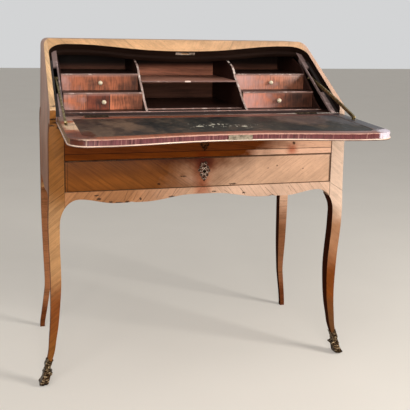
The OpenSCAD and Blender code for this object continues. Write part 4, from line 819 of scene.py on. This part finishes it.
    # Bronze: brown-black in its hollows, rubbed to a pale warm metal where it stands out.
    F["bronze"] = metal(
        "Patinated bronze", "#614b3e", "#120b08", "#e6d3c4", 0.34, 260, pits=0.2, chased=(0.42, 0.62, 0.88))
    # The frieze's mount is a darker copy of the same bronze, as painted shade under the open fall.
    F["shaded bronze"] = metal(
        "Patinated bronze in painted shade", "#3c2010", "#241208", "#94653c", 0.42, 260, pits=0.2, chased=(0.46, 0.68, 0.95))
    F["shoe"] = metal("Patinated bronze, shoes", "#3b2a1a", "#130d07", "#948368", 0.38, 190, pits=0.2)
    # Brass gone dull; its hinges are nearly black, and the strike plate is worn bright.
    F["brass"] = metal("Aged brass", fitting.brass, "#5d5036", "#a8997a", 0.4, 120)
    F["dark brass"] = metal("Blackened brass", "#33281d", "#1c140e", "#5c4f3b", 0.48, 120)
    F["steel"] = metal("Lock steel", fitting.steel, "#6b6255", "#b8ab98", 0.42, 90)
    F["strike"] = metal("Strike plate, worn bright", "#d5c8ba", "#8c8072", "#f6ebdf", 0.55, 90)
    F["leather"] = writing_leather(fitting.leather)
    F["bone"] = turned_bone(fitting.bone)
    return F


# ---------------------------------------------------------------------------------- pieces

SIDES = (("left", -1), ("right", 1))
SMALL_DRAWERS = ("upper_left", "upper_right", "lower_left", "lower_right")


def forward(place, normal):
    """Faces that look out of the desk's front."""
    return normal.y < -0.4


class DESK_OT_case(bpy.types.Operator):
    """Veneers the carcass: sides, posts and legs, apron, rails and top"""
    bl_idname = "desk.case"
    bl_label = "Veneered case"

    def execute(self, context):
        round_off = context.scene.desk_woods.leg_round
        low_nose, post_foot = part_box("writing_floor")[1].z, 0.56
        for side, sign in SIDES:
            dress(f"{side}_side_panel", "veneered",
                  ("flank", lambda p, n: n.x * sign > 0.75),
                  (f"post {side}", lambda p, n: n.y < -0.9),
                  ("strip", lambda p, n: n.dot(OFF_SLOPE) > 0.8 and p.z > low_nose),
                  ("inside dark", lambda p, n: n.x * sign < -0.5),
                  "flank", stem=f"{side}_side")
            dress(f"front_{side}_leg", "veneered",
                  (f"post {side}", lambda p, n: n.y < -0.6),
                  ("leg flank", lambda p, n: n.x * sign > 0.2 or p.z > post_foot),
                  "leg inner in shade", width=round_off, segments=3)
            dress(f"rear_{side}_leg", "veneered",
                  (f"rear leg {side}", lambda p, n: n.y < -0.6 or (sign < 0 and n.x < -0.3)),
                  ("leg flank", lambda p, n: n.y > 0.6 or n.x * sign > 0.3),
                  "leg inner in shade", width=round_off, segments=3)
        for node, finish in (("front_apron", "apron"), ("drawer_rail", "rail"), ("frieze", "frieze")):
            dress(node, "veneered", (finish, forward), "oak", joint=0.00035)
        dress("top_rail", "veneered", ("slant", lambda p, n: n.dot(OFF_SLOPE) > 0.7 or n.z > 0.9), "inside dark")
        dress("top_board", "veneered", ("top", lambda p, n: n.z > 0.3), ("oak", lambda p, n: n.y > 0.5), "inside")
        return {"FINISHED"}


class DESK_OT_inside(bpy.types.Operator):
    """Finishes the writing compartment, the nest and the boards out of sight"""
    bl_idname = "desk.inside"
    bl_label = "Compartment and nest"

    # Each board with the finishes of its front edge, its top and the rest.
    boards = {
        "writing_floor": ("floor edge", "inside top", "inside"),
        **dict.fromkeys(("nest_bottom", "centre_floor", "drawer_shelves"), ("inside edge", "inside top", "inside")),
        "centre_shelf": ("shelf edge", "lit shelf top", "inside"),
        **dict.fromkeys(("left_divider", "right_divider"), ("divider edge", "inside top", "inside deep")),
        **dict.fromkeys(("left_nest_end", "right_nest_end"), ("inside", "inside top", "inside deep")),
        "top_stop_rail": ("stop rail", "inside top", "stop rail"),
    }

    def execute(self, context):
        fine = context.scene.desk_woods.board_round * 0.8
        for node, (edge, top, rest) in self.boards.items():
            dress(node, "finished", (edge, lambda p, n: n.y < -0.25), (top, lambda p, n: n.z > 0.7), rest, width=fine)
        for side, _ in SIDES:
            dress(f"{side}_ledge", "rubbed", "ledge")
        low = HINGE.z - 0.02
        for node, rest in (("back_panel", "oak upright"), ("dust_board", "oak"), ("drawer_runners", "oak")):
            dress(node, "boards", ("inside back", lambda p, n: n.y < -0.9 and p.z > low and p.y > 0), rest)
        return {"FINISHED"}


class DESK_OT_drawers(bpy.types.Operator):
    """Finishes the wide drawer and the four small ones"""
    bl_idname = "desk.drawers"
    bl_label = "Drawers"

    def execute(self, context):
        dress("drawer_front", "veneered", ("drawer", forward), "oak")
        for node in ("drawer_sides", "drawer_back", "drawer_bottom"):
            dress(node, "oak", "oak")
        for name in SMALL_DRAWERS:
            dress(f"{name}_front", "mahogany", (name, forward), "oak")
            dress(f"{name}_box", "oak", "oak", width=context.scene.desk_woods.board_round * 0.6)
        return {"FINISHED"}


class DESK_OT_fall(bpy.types.Operator):
    """Finishes the fall: veneered panel with its lip, cross-banding and leather"""
    bl_idname = "desk.fall"
    bl_label = "Fall"

    # Depths below the hinge line, through the thickness: where the bare lip begins, and the outside face.
    lip_from, outside_from = 0.0135, 0.0165

    def execute(self, context):
        dress("fall_panel", "veneered",
              ("fall outside", lambda p, n: n.dot(DOWN) > 0.9 and (p - HINGE).dot(DOWN) > self.outside_from),
              ("lip", lambda p, n: (p - HINGE).dot(DOWN) > self.lip_from),
              ("fall end", lambda p, n: abs(n.x) > 0.9),
              "fall edge")
        dress("fall_crossbanding", "veneer", ("banding", lambda p, n: n.z > 0.5),
              ("fall end", lambda p, n: abs(n.x) > 0.9), "fall edge", width=0.0004)
        dress("fall_leather", "worn", "leather", width=0.0003)
        return {"FINISHED"}


def relief_copy(node, name, voxel):
    """A copy of a CAD node made dense enough to be chased."""
    piece = copy_of(node, name)
    bpy.ops.object.modifier_add(type="REMESH")
    remesh = piece.modifiers[-1]
    remesh.mode, remesh.voxel_size = "VOXEL", voxel
    bpy.ops.object.modifier_apply(modifier=remesh.name)
    return piece


class DESK_OT_keyholes(bpy.types.Operator):
    """Chases the two pierced bronze mounts round the keyholes"""
    bl_idname = "desk.keyholes"
    bl_label = "Keyhole mounts"

    # Leaves and scrolls of one mount about its keyhole: middle, radius, and how many flutes it has.
    leaves = (
        (0, 0, 12.5, 14), (-1, 14, 8.5, 9), (3, 22, 5, 6), (-6, 19, 5.2, 6), (-13, 3, 4.8, 5), (13, 1, 4.6, 5),
        (-10, 11, 4.4, 5), (10, 10, 4.2, 5), (-8, -10, 5, 6), (8, -11, 4.8, 6), (-1, -16, 7.5, 8), (3, -20, 4.2, 5),
    )

    def height(self, x, z):
        """Height of the modelling, from 0 to 1, at a place in millimetres from the keyhole's middle."""
        best = 0.0
        for cx, cz, r, flutes in self.leaves:
            d = math.hypot(x - cx, z - cz) / r
            if d < 1:
                turn = math.atan2(z - cz, x - cx)
                dome = math.sqrt(1 - d * d)
                curl = 0.5 + 0.5 * math.cos(flutes * turn + 7 * d)
                rim = math.exp(-((d - 0.82) / 0.13) ** 2)
                best = max(best, 0.45 * dome + 0.25 * curl * d + 0.4 * rim)
        bead = math.hypot(x, z + 1)
        hollow = math.exp(-(bead / 3.6) ** 4)
        collar = math.exp(-((bead - 6.2) / 1.3) ** 2)
        return best * (1 - 0.75 * hollow) + 0.35 * collar

    def execute(self, context):
        relief, drawn = context.scene.desk_fittings.relief, 0.055
        for node, finish in (("drawer_escutcheon", "bronze"), ("frieze_escutcheon", "shaded bronze")):
            low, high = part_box(node)
            middle = (low.z + high.z) / 2 + 0.0005
            scale = (high.z - low.z) / drawn
            piece = relief_copy(node, f"{node}_chased", 0.00055)
            level = piece.data.attributes.new("height", "FLOAT", "POINT").data
            for v in piece.data.vertices:
                # Only the front half of the plate is modelled, and its back lies flat on the wood.
                front = (high.y - v.co.y) / (high.y - low.y)
                if front > 0.55:
                    h = self.height(v.co.x * 1000 / scale, (v.co.z - middle) * 1000 / scale)
                    level[v.index].value = h
                    v.co.y -= relief * h * min(1, (front - 0.55) / 0.3) - 0.0008 * front
            only(piece)
            bpy.ops.object.modifier_add(type="SMOOTH")
            smooth = piece.modifiers[-1]
            smooth.factor, smooth.iterations = 0.5, 2
            bpy.ops.object.modifier_apply(modifier=smooth.name)
            bpy.ops.object.shade_smooth()
            paint(piece, finish)
        return {"FINISHED"}


class DESK_OT_shoes(bpy.types.Operator):
    """Chases the two bronze shoes with leaves that rise up the feet"""
    bl_idname = "desk.shoes"
    bl_label = "Bronze shoes"

    def execute(self, context):
        for side, sign in SIDES:
            node = f"{side}_sabot"
            low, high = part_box(node)
            piece = relief_copy(node, f"{node}_chased", 0.0009)
            axis_y = (low.y + high.y) / 2
            height = high.z - low.z
            piece.data.update()
            normals = [v.normal.copy() for v in piece.data.vertices]
            for v, n in zip(piece.data.vertices, normals):
                t = (v.co.z - low.z) / height
                # The foot's middle moves outwards as it goes down to the toe.
                centre = sign * (0.425 + 0.018 * (1 - t) ** 1.5 - 0.006 * t)
                turn = math.atan2((v.co.y - axis_y), (v.co.x - centre) * sign)
                leaf = abs(math.remainder(turn + math.radians(60), math.radians(90)))
                vein = 0.5 + 0.5 * math.cos(t * 62 - leaf * 5.5)
                spine = math.exp(-(leaf / 0.16) ** 2)
                band = math.exp(-((t - 0.42) / 0.035) ** 2)
                ring = math.exp(-((t - 0.08) / 0.05) ** 2)
                out = 0.0011 * vein * (1 - spine) * min(1, t * 3) + 0.0016 * spine + 0.0014 * band + 0.001 * ring
                v.co += n * (out - 0.0024)
                v.co.x = min(CAD_BOX[1].x, max(CAD_BOX[0].x, v.co.x))
                v.co.z = max(0.0, v.co.z)
            only(piece)
            bpy.ops.object.shade_smooth()
            paint(piece, "shoe")
        return {"FINISHED"}


class DESK_OT_fittings(bpy.types.Operator):
    """Finishes hinges, stays, locks and the bone knobs"""
    bl_idname = "desk.fittings"
    bl_label = "Hinges, stays, locks and knobs"

    # The brass pieces with their finishes, in the order of their making.
    brass = {
        "strike_plate": "strike", "floor_hinge_leaves": "dark brass", "hinge_pins": "dark brass",
        "fall_hinge_leaves": "dark brass", "stay_brackets": "brass", "left_stay": "brass", "right_stay": "brass",
        "fall_lock_bolt": "steel", "drawer_lock_bolt": "brass",
    }

    def execute(self, context):
        for node, finish in self.brass.items():
            dress(node, "brass", finish, width=0.0004)
        for node in ("fall_lock", "drawer_lock"):
            dress(node, "case", "steel", width=0.0003)
        for name in SMALL_DRAWERS:
            piece = copy_of(f"{name}_knob", f"{name}_knob_bone")
            bpy.ops.object.shade_smooth_by_angle(angle=math.radians(50))
            paint(piece, "bone")
        return {"FINISHED"}


class DESK_OT_stage(bpy.types.Operator):
    """Makes the pale floor, the soft lights, the background and the camera"""
    bl_idname = "desk.stage"
    bl_label = "Floor, lights and camera"

    def execute(self, context):
        stage = context.scene.desk_stage
        if context.object and context.object.mode != "OBJECT":
            bpy.ops.object.mode_set(mode="OBJECT")
        bpy.ops.object.select_all(action="DESELECT")
        bpy.ops.mesh.primitive_plane_add(size=30, location=(0, 0, 0))
        floor = named(context.object, "floor")
        mat, shader, add = blank("Plain pale floor", 0.9, ior=1.15)
        cloud = add("TexNoise", (add("TexCoord").outputs["Object"], 3.0, 2.0))
        skin = add("ValToRGB", (cloud,), [(0.3, tone_of(stage.floor, 0.98)), (0.7, stage.floor)])
        # Only what the camera sees of the floor is lifted to a pale tone; the desk isn't lit by it.
        glow = add("Math MULTIPLY", (self.seen(add), stage.lift))
        feed(mat, shader, {"Base Color": skin, "Emission Color": skin, "Emission Strength": glow})
        floor.data.materials.append(mat)
        for name, place, aim, size, power, tint in (
                ("key", (2.43, -1.87, 1.61), (0.0, -0.05, 0.6), 0.9, stage.key, "#fff8ef"),
                ("top", (-0.8, -1.6, 2.6), (0.0, 0.0, 0.6), 1.6, stage.key * 0.30, "#fffaf4"),
                ("front", (-0.85, -4.7, 1.55), (0.0, 0.0, 0.75), 1.8, stage.key * 1.15, "#fff4ea")):
            bpy.ops.object.light_add(type="AREA", location=place)
            lamp = context.object
            lamp.name = name
            lamp.data.shape, lamp.data.size, lamp.data.energy = "SQUARE", size, power
            lamp.data.color = linear(tint)[:3]
            lamp.rotation_euler = (Vector(aim) - Vector(place)).to_track_quat("-Z", "Y").to_euler()
        world = context.scene.world or bpy.data.worlds.new("Room")
        context.scene.world = world
        world.use_nodes = True
        world.node_tree.nodes.clear()
        add = partial(add_node, world)
        room = add("Background", ("#fff3e6", stage.fill))
        wall = add("Background", ("#d3d4d5", 1.0))
        add("OutputWorld", (add("MixShader", (self.seen(add), room, wall)),))
        self.camera(context)
        return {"FINISHED"}

    def seen(self, add):
        """One where the camera sees a surface, straight or in metal or glass."""
        path = add("LightPath")
        seen = add("Math MAXIMUM", (path.outputs["Is Camera Ray"], path.outputs["Is Glossy Ray"]))
        return add("Math MAXIMUM", (seen, path.outputs["Is Transmission Ray"]))

    def camera(self, context):
        """Stands the camera where the photograph was taken from."""
        yaw, pitch, roll = math.radians(15.54), math.radians(9.70), math.radians(1.06)
        ahead = Vector((math.sin(yaw), math.cos(yaw), 0))
        level = Vector((math.cos(yaw), -math.sin(yaw), 0))
        sight = ahead * math.cos(pitch) - Z * math.sin(pitch)
        up = Z * math.cos(pitch) + ahead * math.sin(pitch)
        right, top = level * math.cos(roll) + up * math.sin(roll), up * math.cos(roll) - level * math.sin(roll)
        bpy.ops.object.camera_add()
        camera = context.object
        camera.name = "Photograph"
        turn = Matrix((right, top, -sight)).transposed().to_4x4()
        camera.matrix_world = Matrix.Translation((-0.54486, -1.95244, 0.994)) @ turn
        camera.data.sensor_width, camera.data.lens = 36, 63.25
        # The frame is this many pixels wide and high, and the lens's axis falls at these two.
        wide, axis_x, axis_y = 410, 198.48, 150
        camera.data.shift_x, camera.data.shift_y = (wide / 2 - axis_x) / wide, (axis_y - wide / 2) / wide
        camera.data.clip_start, camera.data.clip_end = 0.05, 60
        context.scene.camera = camera
        context.scene.view_settings.view_transform = "Standard"


class DESK_PT_panel(bpy.types.Panel):
    """Lists the desk's steps and settings"""
    bl_idname = "DESK_PT_panel"
    bl_label = "Slant-front desk"
    bl_space_type = "VIEW_3D"
    bl_region_type = "UI"
    bl_category = "Desk"

    def draw(self, context):
        for step in STEPS:
            self.layout.operator(step.bl_idname)
        for group in (context.scene.desk_woods, context.scene.desk_fittings, context.scene.desk_stage):
            box = self.layout.box()
            for key in group.__annotations__:
                box.prop(group, key)


GROUPS = (DeskWoods, DeskFittings, DeskStage)
STEPS = (DESK_OT_case, DESK_OT_inside, DESK_OT_drawers, DESK_OT_fall, DESK_OT_keyholes, DESK_OT_shoes,
         DESK_OT_fittings, DESK_OT_stage)


def register():
    """Adds the desk's settings, operators and panel."""
    for item in (*GROUPS, *STEPS, DESK_PT_panel):
        bpy.utils.register_class(item)
    bpy.types.Scene.desk_woods = bpy.props.PointerProperty(type=DeskWoods)
    bpy.types.Scene.desk_fittings = bpy.props.PointerProperty(type=DeskFittings)
    bpy.types.Scene.desk_stage = bpy.props.PointerProperty(type=DeskStage)


def unregister():
    """Takes them away again."""
    del bpy.types.Scene.desk_stage, bpy.types.Scene.desk_fittings, bpy.types.Scene.desk_woods
    for item in reversed((*GROUPS, *STEPS, DESK_PT_panel)):
        bpy.utils.unregister_class(item)


def main():
    """Builds the whole desk."""
    register()
    bpy.ops.desk.case()
    bpy.ops.desk.inside()
    bpy.ops.desk.drawers()
    bpy.ops.desk.fall()
    bpy.ops.desk.keyholes()
    bpy.ops.desk.shoes()
    bpy.ops.desk.fittings()
    bpy.ops.desk.stage()


if __name__ == "__main__":
    main()
